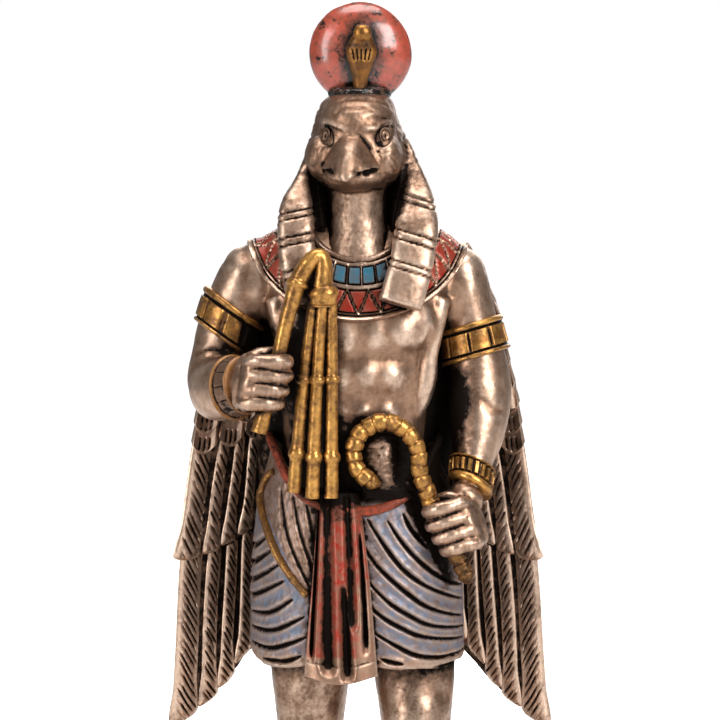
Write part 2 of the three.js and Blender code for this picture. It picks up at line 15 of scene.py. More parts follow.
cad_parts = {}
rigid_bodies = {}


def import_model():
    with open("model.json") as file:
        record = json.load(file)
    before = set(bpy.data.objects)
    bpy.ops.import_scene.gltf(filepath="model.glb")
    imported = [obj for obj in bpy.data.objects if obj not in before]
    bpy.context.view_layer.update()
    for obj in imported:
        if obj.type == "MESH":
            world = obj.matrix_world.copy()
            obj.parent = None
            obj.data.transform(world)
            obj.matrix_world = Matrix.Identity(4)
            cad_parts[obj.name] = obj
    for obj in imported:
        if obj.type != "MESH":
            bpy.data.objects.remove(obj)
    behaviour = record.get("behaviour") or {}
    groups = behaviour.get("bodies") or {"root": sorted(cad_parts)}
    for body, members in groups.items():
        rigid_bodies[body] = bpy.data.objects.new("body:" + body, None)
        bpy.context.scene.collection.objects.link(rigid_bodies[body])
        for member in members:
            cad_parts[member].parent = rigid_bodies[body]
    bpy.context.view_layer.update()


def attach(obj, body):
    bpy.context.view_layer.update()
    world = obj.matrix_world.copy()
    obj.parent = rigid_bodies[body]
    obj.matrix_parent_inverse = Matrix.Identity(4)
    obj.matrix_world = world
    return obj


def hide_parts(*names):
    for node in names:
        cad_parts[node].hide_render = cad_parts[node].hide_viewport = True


bl_info = {
    "name": "Falcon-headed sun god figurine",
    "version": (1, 0, 0),
    "blender": (4, 5, 0),
    "location": "3D View > Sidebar > Figurine",
    "description": "Models a small cast figurine piece by piece and gives it an antiqued bronze finish",
    "category": "Object",
}

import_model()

MM = 0.001
BOTH_SIDES = (-1, 1)

# Levels and places that several pieces share, in millimetres.
BASE_TOP = 4.5
BASE_SIZE = (38.0, 28.0, BASE_TOP)
DISC_CENTRE = (0.22, 0.6, 84.28)
DISC_HALF_DEPTH = 2.1
HEAD_TURN = math.radians(-8.5)
HEAD_SHIFT = 0.1
WING_BOW = 5.2
WING_REACH = 16.0

# Stations along a limb: x, y, z, half width, half depth.
TORSO = [
    (0, 0.6, 41.0, 7.4, 5.4), (-0.2, 0.3, 45.5, 7.1, 5.3), (-0.3, 0, 49.5, 6.5, 4.9),
    (-0.3, -0.1, 53.5, 6.6, 5.2), (-0.1, -0.2, 57.5, 7.3, 5.6), (0, 0, 61.0, 8.4, 5.9),
    (0, 0.4, 64.5, 9.2, 5.2), (0, 0.8, 67.1, 8.7, 4.1), (0, 1.2, 68.9, 5.8, 3.1),
    (0, 1.4, 70.6, 2.7, 2.2),
]
NECK = [
    (0, -0.2, 64.5, 5.2, 4.6), (0, -0.4, 66.6, 3.9, 3.9), (0, -0.7, 68.4, 2.95, 3.4),
    (-0.1, -1.0, 70.4, 2.6, 3.0), (-0.1, -1.4, 74.0, 2.8, 3.0),
]
RIGHT_UPPER_ARM = [
    (-10.1, 0.2, 64.2, 2.5, 2.9), (-11.6, 0.1, 60.0, 2.7, 2.9), (-12.5, 0, 57.0, 2.5, 2.7),
    (-13.1, -0.3, 54.6, 2.3, 2.6), (-13.1, -0.7, 52.6, 1.5, 1.8),
]
RIGHT_FOREARM = [
    (-13.2, -0.2, 54.4, 2.0, 2.3), (-12.6, -2.4, 54.2, 2.5, 2.8), (-11.5, -4.8, 54.4, 2.2, 2.6),
    (-10.3, -6.9, 54.8, 1.7, 2.1), (-9.3, -8.3, 55.0, 1.6, 2.0),
]
LEFT_ARM = [
    (9.3, 0.2, 64.2, 2.3, 2.8), (10.2, 0.1, 59.6, 2.45, 2.8), (10.8, -0.1, 56.0, 2.75, 2.9),
    (10.9, -0.6, 53.2, 2.9, 3.0), (10.7, -1.7, 50.0, 2.4, 2.6), (10.2, -2.9, 47.2, 1.7, 2.0),
    (9.9, -3.9, 45.0, 1.6, 1.9),
]
# Breast on the +X side: centre and radii.
BREAST = ((3.5, -3.4, 60.2), (3.7, 2.5, 3.1))
# Shoulders and elbows: centre, radii and lean in degrees about Y.
SHOULDERS = [
    ((-9.3, 0.3, 63.5), (3.0, 3.2, 4.1), 20),
    ((8.8, 0.3, 62.6), (2.8, 3.1, 4.1), -20),
]
ELBOWS = [
    ((-12.9, -0.5, 55.4), (2.2, 2.5, 2.3), 0),
    ((11.2, -1.0, 53.6), (2.3, 2.4, 3.2), 4),
]
# First stations of the right arm, and the x they are mirrored from and the drop for the left one.
ARM_ROOT = [(-9.2, 0.4, 65.9, 1.0, 1.2), (-9.8, 0.3, 65.4, 2.0, 2.3)]
LEFT_ROOT_X, LEFT_ROOT_DROP = -0.9, 0.1
SIDE_FOLD = [
    (7.4, -3.0, 62.4, 0.9, 0.9), (6.9, -3.4, 59.8, 0.85, 0.9), (6.35, -3.4, 57.4, 0.8, 0.85),
    (6.25, -3.2, 55.4, 0.85, 0.95), (5.8, -2.9, 53.4, 0.75, 0.8), (5.0, -2.5, 51.6, 0.4, 0.4),
]
# Swellings of the chest and belly: x, z, half width, half height, height.
SWELLINGS = [
    (-0.95, 58.8, 1.0, 1.5, 0.34), (1.8, 59.1, 1.2, 1.4, 0.30), (3.9, 58.9, 1.1, 1.5, 0.34),
    (-4.0, 59.2, 1.8, 1.6, 0.35), (0.75, 55.5, 0.95, 1.25, 0.36), (3.1, 55.4, 1.05, 1.25, 0.46),
    (-1.4, 55.3, 0.9, 1.2, 0.34), (-3.6, 55.6, 1.0, 1.2, 0.36), (5.3, 53.4, 0.9, 2.2, 0.2),
    (0.45, 52.3, 0.9, 0.9, 0.36), (2.7, 52.4, 0.95, 0.8, 0.40), (-1.5, 52.4, 0.9, 0.9, 0.3),
    (-3.2, 52.4, 0.9, 0.9, 0.30), (0.8, 50.3, 1.0, 0.9, 0.30), (-1.6, 50.3, 1.0, 0.9, 0.30),
    (0.6, 57.3, 2.4, 0.8, -0.16), (3.8, 57.0, 1.9, 0.8, -0.26), (-2.8, 57.1, 2.4, 0.8, -0.26),
]
ELBOW_CREASE = [(-14.6, 57.2), (-13.2, 57.8), (-11.6, 57.4)]
# Folds of skin at the right elbow, across the left arm and beside the belly: line, depth, width, taper.
SKIN_FOLDS = [
    (ELBOW_CREASE, 0.12, 0.25, 0.4),
    ([(12.9, 52.2), (11.9, 52.5), (10.9, 53.5)], 0.14, 0.7, 0.4),
    ([(6.5, 59.9), (5.95, 58.2), (5.45, 56.6), (5.3, 55.2)], 0.07, 0.35, 0.3),
]
# Inner edge of the light on the left arm, as level and x.
ARM_SHADOW = [
    (46, 9.2), (48.2, 9.2), (50.4, 9.45), (52.4, 10.0), (53.6, 10.4), (55.5, 9.7), (57, 8.5), (58.5, 7.6),
]
# Where the same shadow starts beside the belly, as level and x.
SIDE_SHADOW = [(50, 5.8), (52, 6.2), (54.6, 6.8), (58.3, 7.5)]
# Painted shade behind the flail and beside the right arm: x, z, half width, half height, strength.
BODY_SHADE = [
    (-9.0, 58.6, 1.9, 1.7, 1.5), (-11.8, 58.0, 1.3, 0.9, 0.75), (-5.8, 56.6, 1.5, 5.0, 1.3),
    (-4.2, 50.5, 1.6, 4.5, 0.7), (-4.6, 50.0, 3.0, 4.0, 0.4), (0.2, 51.2, 0.8, 1.2, 0.5),
    (-10.4, 64.4, 1.3, 1.7, 0.35),
]
RIGHT_FIST = {"centre": (-8.3, -9.5, 55.2), "grip": (0.16, 0, 1), "reach": (1, -0.1, 0)}
LEFT_FIST = {"centre": (8.6, -6.6, 42.3), "grip": (-0.36, 0, 0.93), "reach": (-0.95, -0.2, -0.25)}
LEFT_WRIST = ((9.55, -4.7, 44.5), (1.6, 1.7, 1.7))
HAND_SCALE = 0.84
# A hand, in its own directions: along its reach, outwards, up its grip, then half width and half depth.
PALM = [(-1.6, -0.6, -2.8, 0.4, 0.6), (-1.65, -0.6, -2.3, 1.0, 1.4), (-1.5, -0.3, 0, 1.3, 1.85)]
INNER_PALM = [(-0.6, -0.8, -2.2, 1.4, 1.0), (-0.4, -0.8, 0, 1.6, 1.1)]
HAND_BACK = [(-1.2, 0.2, -2.8, 0.5, 0.4), (-1.35, 0.3, -2.3, 1.0, 0.95), (-1.2, 0.42, 0, 1.4, 1.25)]
THUMB = [(-1.8, -0.4, 2.4, 0.8), (-0.8, -0.9, 3.0, 0.75), (0.4, -1.3, 3.1, 0.66), (1.3, -1.5, 2.8, 0.55)]
KNUCKLE = (0.86, 0.76, 0.72)
# Fingers: place up the grip and length. Then the places of the gaps between them.
FINGERS = [(2.25, 0.92), (0.78, 1.0), (-0.72, 0.92), (-2.15, 0.8)]
FINGER_GAPS = (1.5, 0.03, -1.43)
RIGHT_LEG = [
    (-4.5, 0.6, 34.0, 4.0, 4.5), (-4.3, 0.6, 28.0, 3.5, 4.0), (-4.3, 0.4, 24.5, 3.1, 3.4),
    (-4.3, 0.5, 21.0, 2.8, 3.1), (-4.4, 1.3, 16.0, 2.9, 3.4), (-4.5, 1.5, 10.5, 1.9, 2.3),
    (-4.6, 1.5, 7.2, 1.8, 2.2), (-4.6, 1.4, BASE_TOP, 1.9, 2.4),
]
LEFT_LEG = [
    (4.9, 0.4, 34.0, 4.0, 4.5), (5.1, -0.4, 28.0, 3.6, 4.0), (5.2, -1.4, 24.5, 3.2, 3.5),
    (5.2, -1.7, 21.0, 2.9, 3.1), (5.2, -1.6, 16.0, 3.0, 3.4), (5.2, -1.9, 10.5, 2.0, 2.3),
    (5.2, -2.1, 7.2, 1.8, 2.2), (5.2, -2.2, BASE_TOP, 1.9, 2.4),
]
# The knee's place among the stations of a leg.
KNEE = 3
# Foot from heel to toes: across, forward and up from the ankle, half width and half height.
FOOT = [
    (0, -2.3, 1.3, 1.3, 1.1), (0, -0.6, 1.9, 1.8, 1.9), (0.1, 2.2, 1.6, 2.0, 1.7),
    (0.2, 4.8, 1.0, 2.3, 1.1), (0.2, 6.4, 0.6, 2.2, 0.7),
]
FACE = [
    (0.1, -0.1, 80.75, 1.7, 1.7), (0.1, -0.4, 80.2, 2.8, 3.2), (0.1, -0.8, 78.9, 3.3, 4.2),
    (0.05, -1.0, 77.2, 3.5, 4.3), (0, -1.2, 75.8, 3.9, 4.3), (0, -1.4, 74.6, 4.2, 4.4),
    (0, -1.5, 73.2, 3.8, 4.0), (0, -1.5, 72.2, 2.7, 3.2),
]
# Sections of the beak from the face to its tip: y, level of the lower edge, height, half width, sag below.
BEAK = [
    (-3.0, 74.1, 3.3, 2.9, 0.5), (-4.6, 74.0, 3.1, 2.75, 0.45), (-6.0, 73.9, 2.3, 2.25, 0.4),
    (-7.1, 73.7, 1.5, 1.55, 0.35), (-7.8, 73.4, 0.95, 0.95, 0.4), (-8.2, 73.1, 0.5, 0.5, 0.35),
    (-8.35, 72.9, 0.2, 0.2, 0.15),
]
# Lower edge of the brow, as x and z.
BROW = [
    (-4.0, 77.9), (-3.2, 77.9), (-2.6, 77.8), (-2.0, 77.5), (-0.95, 77.1), (-0.5, 77.1),
    (1.64, 77.25), (2.2, 77.6), (2.9, 77.8), (4, 77.8),
]
# Eyes: x, z, tilt and half width.
EYES = [(-2.75, 76.8, 0.3, 0.52), (2.33, 76.85, -0.3, 0.72)]
EYE_TALL = 0.86
EYE_RIM = 0.06
FAR_FROM_EYES = 9.0
# Where rays toward the eyes start in front of the figure.
IN_FRONT = -12
# Lines cut in the face, as x and z.
BEAK_GROOVES = [
    [(-0.5, 77.1), (0.07, 76.85), (0.63, 76.25), (1.19, 75.45), (1.58, 74.75), (1.8, 74.3)],
    [(-0.95, 77.1), (-1.5, 76.75), (-2.1, 76.1), (-2.7, 75.3), (-3.08, 74.5), (-3.3, 74.0)],
]
CREASES = [
    [(-0.15, 77.3), (0.7, 76.3), (1.5, 75.4)], [(1.4, 75.7), (2.1, 75.35), (2.9, 75.55)],
    [(1.7, 75.2), (2.3, 74.9), (3.0, 75.0)], [(2.6, 75.2), (3.3, 74.6), (3.6, 73.9)],
    [(-3.0, 75.9), (-3.5, 75.2)],
]
WRINKLES = [
    [(-2.7, 79.3), (-1.3, 80.0), (0.3, 80.15), (1.8, 79.9), (2.8, 79.3)],
    [(-2.3, 78.6), (-1.1, 79.2), (0.3, 79.25), (1.5, 79.0)], [(0.6, 78.3), (1.9, 78.5), (2.9, 78.2)],
    [(2.9, 74.4), (3.2, 73.4), (2.6, 72.9)], [(-3.2, 73.9), (-2.5, 72.9), (-1.2, 72.6)],
]
LIDS = [
    [(1.5, 77.2), (2.2, 77.6), (2.9, 77.75), (3.3, 77.5)], [(-1.8, 77.4), (-2.6, 77.75), (-3.2, 77.7)],
]
# How each kind of line is cut: lines, depth, width, taper.
FACE_CUTS = [
    (LIDS, 0.12, 0.16, 0.3), (BEAK_GROOVES, 0.11, 0.36, 0.4), (CREASES, 0.07, 0.2, 0.3),
    (WRINKLES, 0.08, 0.3, 0.4),
]
# Hollows under the beak, and painted shade in the corners of the eyes: x, z, half width, half height,
# strength.
GAPE = [
    (-2.45, 73.85, 0.4, 0.42, 0.3), (0.0, 73.65, 0.3, 0.3, 0.25), (0.85, 73.5, 0.42, 0.28, 0.26),
    (1.45, 73.85, 0.32, 0.3, 0.24),
]
EYE_CORNER_SHADE = [(1.5, 76.75, 0.36, 0.34, 0.7), (-2.05, 76.85, 0.26, 0.42, 0.7), (-3.2, 77.3, 0.3, 0.4, 0.6)]
# Headcloth, the room in it for the face, its lappets and its tail: stations as for a limb.
HEADCLOTH = [
    (0, 0.4, 80.9, 1.6, 2.0), (0, 0.5, 80.3, 2.8, 3.3), (-0.1, 0.6, 79.6, 3.3, 3.9),
    (-0.1, 0.7, 78.1, 3.85, 4.4), (0, 0.85, 76.5, 4.3, 4.6), (0.2, 1.0, 74.8, 4.9, 4.8),
    (0.35, 1.2, 72.6, 5.8, 4.7), (0, 1.5, 70.4, 6.8, 4.6), (-0.1, 1.8, 68.6, 7.2, 4.6),
    (0, 2.2, 66.8, 6.2, 4.4),
]
HEADCLOTH_HOLLOW = [
    (0, -3.4, 66.2, 2.9, 3.6), (0, -3.4, 70.0, 3.3, 3.6), (0, -3.4, 73.6, 3.9, 3.4),
    (0, -3.4, 76.0, 3.4, 2.4),
]
RIGHT_LAPPET = [
    (-3.9, 0.9, 77.0, 0.3, 0.4), (-4.2, 0.2, 75.8, 0.45, 0.7), (-4.5, -0.9, 74.3, 0.55, 0.9),
    (-5.0, -2.4, 72.4, 0.85, 1.0), (-5.5, -4.6, 69.8, 1.6, 1.0), (-5.3, -6.0, 65.8, 1.65, 1.0),
    (-4.4, -6.9, 61.9, 1.8, 1.0),
]
LEFT_LAPPET = [
    (3.9, 0.9, 77.0, 0.3, 0.4), (4.4, 0.2, 75.8, 0.45, 0.7), (4.8, -0.9, 74.3, 0.65, 0.9),
    (5.2, -2.4, 71.9, 1.3, 1.0), (5.2, -4.8, 69.2, 1.9, 1.0), (4.75, -6.2, 65.7, 1.95, 1.0),
    (3.7, -7.0, 61.9, 1.98, 1.0),
]
HEADCLOTH_TAIL = [
    (0, 4.6, 71.0, 4.4, 1.6), (0, 5.8, 67.5, 3.0, 1.4), (0, 7.4, 64.0, 1.9, 1.2),
    (0, 8.6, 60.5, 1.6, 1.0),
]
# Bands round the lappets: upper and lower line on the left, then on the right.
CLOTH_BANDS = [
    ((68.3, 67.5), (68.2, 67.5)),
    ((65.5, 64.9), (65.2, 64.5)),
    ((71.6, 71.0), (70.4, 69.8)),
]
# Inner edge of the lappets, as level and distance from the middle.
LAPPET_INNER = [(66, 3.4), (70, 4.0), (73.5, 4.6)]
DISC_SEAT = [
    (0.15, 0.2, 80.2, 2.6, 2.4), (0.15, 0.2, 80.5, 2.8, 2.7), (0.15, 0.2, 80.9, 2.8, 2.6),
    (0.15, 0.2, 81.2, 2.5, 2.1),
]
COBRA = [
    (0.2, -1.4, 80.9, 0.62, 0.7), (0.2, -1.5, 82.0, 0.72, 0.75), (0.25, -1.65, 83.2, 1.1, 0.75),
    (0.3, -1.8, 84.4, 1.4, 0.75), (0.35, -1.95, 85.3, 1.1, 0.75), (0.4, -2.1, 86.0, 0.72, 0.8),
    (0.4, -2.3, 86.6, 0.6, 0.7),
]
# Flail, and the dark sheet of painted shade that fills the gaps between its strands: stations as for a limb,
# strands as x, y, z.
FLAIL_HANDLE = [
    (-8.7, -9.2, 50.8, 0.72, 0.72), (-7.6, -9.4, 55.0, 0.6, 0.6), (-6.1, -9.5, 61.2, 0.66, 0.66),
    (-5.3, -9.4, 63.9, 0.78, 0.8), (-4.55, -9.3, 65.35, 0.78, 0.8), (-3.75, -9.2, 66.2, 0.72, 0.75),
    (-3.2, -9.1, 66.1, 0.75, 0.78), (-3.05, -9.0, 65.2, 0.85, 0.88), (-3.15, -9.0, 63.8, 0.92, 0.92),
    (-3.15, -8.8, 61.9, 1.0, 0.9),
]
FLAIL_CAP = [
    (-3.0, -8.9, 63.7, 0.9, 0.9), (-3.0, -8.9, 63.45, 1.2, 1.1), (-3.05, -8.9, 63.0, 1.38, 1.25),
    (-3.05, -8.9, 62.6, 1.2, 1.1), (-3.1, -8.8, 62.35, 1.25, 1.1), (-3.1, -8.8, 62.1, 1.2, 1.05),
    (-3.1, -8.7, 61.9, 0.95, 0.9),
]
STRANDS = [
    [(-3.85, -8.5, 62.6), (-4.75, -8.0, 55.4), (-5.7, -7.4, 45.4)],
    [(-3.1, -8.8, 62.6), (-3.6, -8.3, 55.4), (-4.05, -7.7, 44.9)],
    [(-2.35, -8.5, 62.6), (-2.3, -8.0, 55.4), (-2.35, -7.4, 44.9)],
]
STRAND_RADII = (0.5, 0.54, 0.63)
FLAIL_SHADE_SHEET = [
    (-3.1, -7.0, 63.3, 1.2, 1.7), (-3.6, -6.3, 55.4, 1.4, 1.7), (-4.1, -5.8, 45.8, 1.8, 1.7),
]
# Crook: x, y, z up its staff, then a turn in degrees for its hook, and the metal inside the hook.
CROOK_STAFF = [
    (9.9, -7.0, 37.2), (8.9, -6.8, 39.4), (7.5, -6.7, 42.4), (6.3, -6.8, 44.9), (5.5, -6.9, 47.2),
    (5.25, -6.9, 49.2),
]
CROOK_HOOK = {"centre": (2.35, -6.9, 48.8), "radius": 2.75, "first": 12, "last": 262}
HOOK_WEB = [
    (2.7, -4.4, 51.2, 1.6, 1.2), (2.7, -4.9, 49.4, 2.6, 1.5), (2.7, -5.0, 47.0, 2.7, 1.5),
    (2.7, -4.9, 44.6, 2.4, 1.4),
]
# Slots sunk in the metal inside the hook, and the painted shade in them and under the hook: x, z, half
# width, half height, height.
HOOK_SLOTS = [(3.85, 48.4, 0.8, 2.6, -1.1), (-0.6, 47.0, 0.5, 3.0, -0.4)]
HOOK_SHADE = [(4.0, 48.2, 0.9, 2.8, 1.3), (2, 45, 3, 0.6, 1.0)]
# Kilt from top to hem, as for a limb, and the levels of its belt.
KILT = [
    (-0.3, 0.3, 48.6, 7.6, 5.6), (-0.3, 0.2, 44.6, 8.7, 6.3), (-0.1, 0.0, 37.0, 9.5, 7.3),
    (-0.1, 0.0, 29.4, 9.6, 7.5),
]
BELT_SIDE, BELT_FRONT = 49.8, 43.6
# Lines carved in the kilt's front, as x and z.
PLEATS = [
    [(0.8, 43.0), (2.0, 41.1), (3.8, 38.7), (6.1, 36.9), (9.4, 35.4)],
    [(2.6, 42.8), (3.8, 41.0), (5.6, 39.0), (7.7, 37.4), (9.4, 36.6)],
    [(4.0, 43.4), (4.8, 41.9), (6.2, 40.2)],
    [(0.27, 40.8), (1.8, 38.7), (4.3, 36.4), (6.5, 34.9), (9.4, 33.9)],
    [(0.7, 37.6), (2.7, 35.6), (4.5, 34.4), (6.5, 33.4), (9.6, 32.9)],
    [(0.7, 35.6), (2.0, 34.4), (3.8, 33.3), (5.9, 32.4), (9.6, 31.9)],
    [(1.1, 33.1), (3.4, 31.7), (5.2, 30.8), (7.4, 30.5), (9.7, 30.8)],
    [(2.0, 30.6), (3.0, 30.25), (4.1, 30.05)], [(6.5, 29.6), (7.8, 29.7), (9.2, 30.0)],
    [(-9.6, 39.8), (-9.2, 40.2), (-7.9, 41.4)], [(-9.6, 38.4), (-9.2, 38.8), (-7.6, 40.1)],
    [(-9.6, 36.9), (-9.2, 37.3), (-7.0, 38.8)], [(-9.6, 35.6), (-9.2, 35.9), (-6.5, 37.4)],
    [(-9.6, 34.3), (-7.8, 34.5), (-5.8, 35.8)], [(-9.6, 33.0), (-7.6, 32.9), (-4.7, 34.3)],
    [(-9.5, 31.6), (-7.6, 31.3), (-4.5, 32.5)], [(-8.5, 30.3), (-6.6, 30.2), (-5.0, 30.8)],
]
FLAP_LINES = [
    [(-6.9, 45.5), (-6.5, 41.9), (-5.5, 39.2), (-4.2, 36.6)],
    [(-5.8, 45.0), (-5.3, 42.0), (-4.3, 39.2), (-3.7, 37.8)],
    [(-4.6, 44.2), (-4.2, 42.2), (-3.6, 40.4)],
]
# Gold edge of the flap: degrees round the body and level.
KILT_TRIM = [
    (-150, 46.9), (-158, 46.3), (-162, 45.0), (-154, 43.2), (-142, 41.1), (-132.5, 39.3), (-121.5, 37.5),
    (-113, 36.2),
]
# Sash: x, y, z and half width. Its widths again by share of its length.
SASH = [
    (-1.7, -6.3, 45.2, 1.8), (-1.6, -7.3, 42.0, 2.1), (-1.5, -8.0, 37.2, 2.55),
    (-1.5, -8.4, 32.6, 2.95), (-1.5, -8.6, 28.9, 3.25),
]
SASH_LENGTH = 16.3
SASH_WIDTHS = [(0, 1.8), (0.19, 2.1), (0.47, 2.55), (0.76, 2.95), (1, 3.25)]
# Troughs between the folds: place across at top and bottom, width, and where each starts and ends.
SASH_TROUGHS = [
    (-0.56, -0.34, 0.19, 0.0, 0.97), (0.38, 0.30, 0.16, 0.0, 0.74), (0.02, 0.20, 0.15, 0.48, 1.0),
    (-0.94, -0.82, 0.06, 0.1, 0.9), (0.82, 0.70, 0.07, 0.25, 0.85),
]
# Rows of long feathers: root level and reach at the spine and outside, tips by share of the reach.
FEATHER_ROWS = [
    {
        "root": (50, 47.5), "reach": (14.6, 17.4), "bow": 0.45, "thick": 0.55, "gap": 0.44, "pitch": 0.88,
        "slope": 1.8, "drift": 0.17,
        "tips": [
            (0, 37), (0.56, 30.5), (0.64, 28.4), (0.70, 26.8), (0.79, 25.3), (0.88, 24.0), (0.94, 23.4),
            (1, 23.3),
        ],
    },
    {
        "root": (57, 53.5), "reach": (14.4, 16.85), "bow": 1.0, "thick": 0.95, "gap": 0.38, "pitch": 1.0,
        "slope": 1.75, "drift": 0.0,
        "tips": [(0, 45.8), (0.56, 41.1), (0.76, 39.1), (0.9, 38.3), (1, 38.4)],
    },
]
FEATHER_EDGES = (0, 0.115, 0.229, 0.343, 0.457, 0.572, 0.66, 0.751, 0.853, 1.0)
FEATHER_FACE = np.array([-1, -0.9, -0.78, -0.62, -0.38, -0.1, 0.18, 0.46, 0.66, 0.8, 0.9, 1])
# Rows of scale feathers: levels of their tips at the spine and at the outer edge.
COVERT_ROWS = [
    (51.6, 47.6), (53.6, 49.4), (55.6, 51.3), (57.6, 53.2),
    (59.6, 55.1), (61.6, 57.1), (63.6, 59.2), (65.6, 61.3),
]
COVERTS_ACROSS = 6
# As many coverts as would fill a row right to the spine.
COVERTS_TO_SPINE = 6.6
COVERT_LENGTH = 2.9
COVERT_SHARES = np.array([0, 0.15, 0.3, 0.42, 0.5, 0.6, 0.7, 0.78, 0.85, 0.9, 0.94, 0.97, 1])
COVERT_FACE = np.concatenate([[-1, -0.9, -0.78, -0.66], np.arange(-0.48, 0.49, 0.12), [0.66, 0.78, 0.9, 1]])
# Outer edge of the coverts and of the web behind the feathers, as level and x.
WING_EDGE = [
    (47.5, 15.3), (50.0, 15.0), (53.4, 14.55), (57.0, 13.7), (60.75, 12.85), (63.2, 11.95), (67.0, 10.3),
]
WEB_EDGE = [
    (24, 16.4), (38, 15.4), (47.5, 14.6), (55, 13.4), (60, 12.9), (62.5, 12.15), (65.5, 10.95), (68, 9.6),
]
# Depth of the wings at the spine, by level.
WING_BACK = [(25, 8.6), (50, 7.6), (67, 4.9)]
# Root of the wings on the back: stations as for a limb.
WING_ROOT = [
    (0, 3.2, 66.4, 9.0, 2.4), (0, 3.3, 60, 9.8, 3.4), (0, 3.9, 46, 9.0, 3.4), (0, 4.2, 37, 8.4, 3.2),
]
# Leaves are shaded smooth up to this angle, in degrees.
LEAF_ANGLE = 42
# Levels between which the left wing has a plain front edge.
PLAIN_EDGE = (65.6, 52.3)
# Profiles of armbands and bracelets: share along the limb and proud height.
BAND_PROFILE = [
    (0, -0.6), (0, 0.38), (0.02, 0.5), (0.07, 0.56), (0.12, 0.5), (0.15, 0.34), (0.19, 0.30), (0.22, 0.30),
    (0.32, 0.30), (0.45, 0.30), (0.58, 0.30), (0.70, 0.30), (0.78, 0.30), (0.81, 0.30), (0.85, 0.34),
    (0.88, 0.5), (0.93, 0.56), (0.98, 0.5), (1, 0.38), (1, -0.6),
]
BRACELET_PROFILE = [
    (0, -0.6), (0, 0.34), (0.02, 0.44), (0.06, 0.46), (0.09, 0.30), (0.12, 0.26), (0.15, 0.26), (0.30, 0.26),
    (0.45, 0.26), (0.56, 0.26), (0.60, 0.26), (0.63, 0.32), (0.66, 0.42), (0.74, 0.5), (0.84, 0.5),
    (0.92, 0.44), (0.98, 0.3), (1, 0.15), (1, -0.6),
]
# Colours of the thin wash, which also edges the painted shade, and of the stage.
WASH_AND_SHADE_BROWN = (0.085, 0.037, 0.017)
WHITE = (1, 1, 1, 1)
PALE_GREY = (0.8, 0.8, 0.8, 1)
DAYLIGHT = (0.95, 0.97, 1.0, 1)
# Noises of the finishes, in waves per metre.
MOTTLE, CLOUD, GRAIN, SPOTS = 520.0, 1500.0, 3200.0, 1100.0
# Soft lights: place and size in metres, and power in watts.
LIGHTS = {
    "key_softbox": ((0.32, -0.42, 0.32), (0.24, 0.34), 3.1),
    "fill_softbox": ((-0.42, -0.36, 0.20), (0.18, 0.40), 1.6),
    "top_softbox": ((0.0, -0.05, 0.55), (0.4, 0.3), 2.2),
    "back_softbox": ((0.1, 0.55, 0.30), (0.5, 0.4), 1.6),
}


class FigurineSizes(bpy.types.PropertyGroup):
    disc_radius: FloatProperty(
        name="Disc radius", description="Radius of the sun disc", default=4.6 * MM, unit="LENGTH"
    )
    barb_pitch: FloatProperty(
        name="Barb pitch", description="Distance between two strokes on a feather", default=0.92 * MM,
        unit="LENGTH",
    )
    barb_depth: FloatProperty(
        name="Barb depth", description="Depth of the strokes on a feather", default=0.34 * MM, unit="LENGTH"
    )
    crook_rings: IntProperty(
        name="Crook rings", description="Number of wound rings along the crook", default=24, min=8
    )
    carving_depth: FloatProperty(
        name="Carving depth", description="Depth of lines cut in cloth", default=0.5 * MM, unit="LENGTH"
    )
    camera_height: FloatProperty(
        name="Camera elevation", description="Angle the camera looks down at", default=math.radians(3),
        subtype="ANGLE",
    )


def colour_property(name, description, default):
    return FloatVectorProperty(
        name=name, description=description, default=default, subtype="COLOR", size=3, min=0, max=1
    )


class FigurineColours(bpy.types.PropertyGroup):
    # The wash colour also fills the painted shade, and the rubbed colours also give painted sheen.
    bronze: colour_property("Bronze", "Body of the cast bronze", (0.34, 0.202, 0.131))
    bronze_light: colour_property("Rubbed bronze", "Bronze where it is rubbed bright", (0.77, 0.565, 0.43))
    wash: colour_property("Wash", "Dark wash left in the hollows", (0.0055, 0.0032, 0.0022))
    gold: colour_property("Gold", "Gold paint", (0.255, 0.099, 0.014))
    gold_light: colour_property("Rubbed gold", "Gold paint on raised edges", (0.80, 0.415, 0.105))
    red: colour_property("Red", "Red enamel", (0.295, 0.021, 0.011))
    red_light: colour_property("Worn red", "Red enamel worn thin", (0.5, 0.078, 0.038))
    blue: colour_property("Blue", "Blue inlay of the collar", (0.035, 0.16, 0.235))
    linen: colour_property("Linen", "Blue-grey wash on the kilt", (0.118, 0.146, 0.2))


# Forms


def smooth_path(stations, t):
    """Points on the curve through the stations, t counted in stations."""
    points = np.asarray(stations, float)
    last = len(points) - 1
    t = np.clip(np.atleast_1d(np.asarray(t, float)), 0, last)
    i = np.minimum(t.astype(int), last - 1)
    f = (t - i)[:, None]
    before, here = points[np.maximum(i - 1, 0)], points[i]
    ahead, after = points[i + 1], points[np.minimum(i + 2, last)]
    curve = f * (3 * (here - ahead) + after - before)
    return here + 0.5 * f * (ahead - before + f * (2 * before - 5 * here + 4 * ahead - after + curve))


def unit(vectors):
    return vectors / np.maximum(np.linalg.norm(vectors, axis=-1, keepdims=True), 1e-9)


def rounded(wave, power):
    """A sine or cosine that makes a section squarer as the power falls below 1."""
    return np.sign(wave) * np.abs(wave) ** power


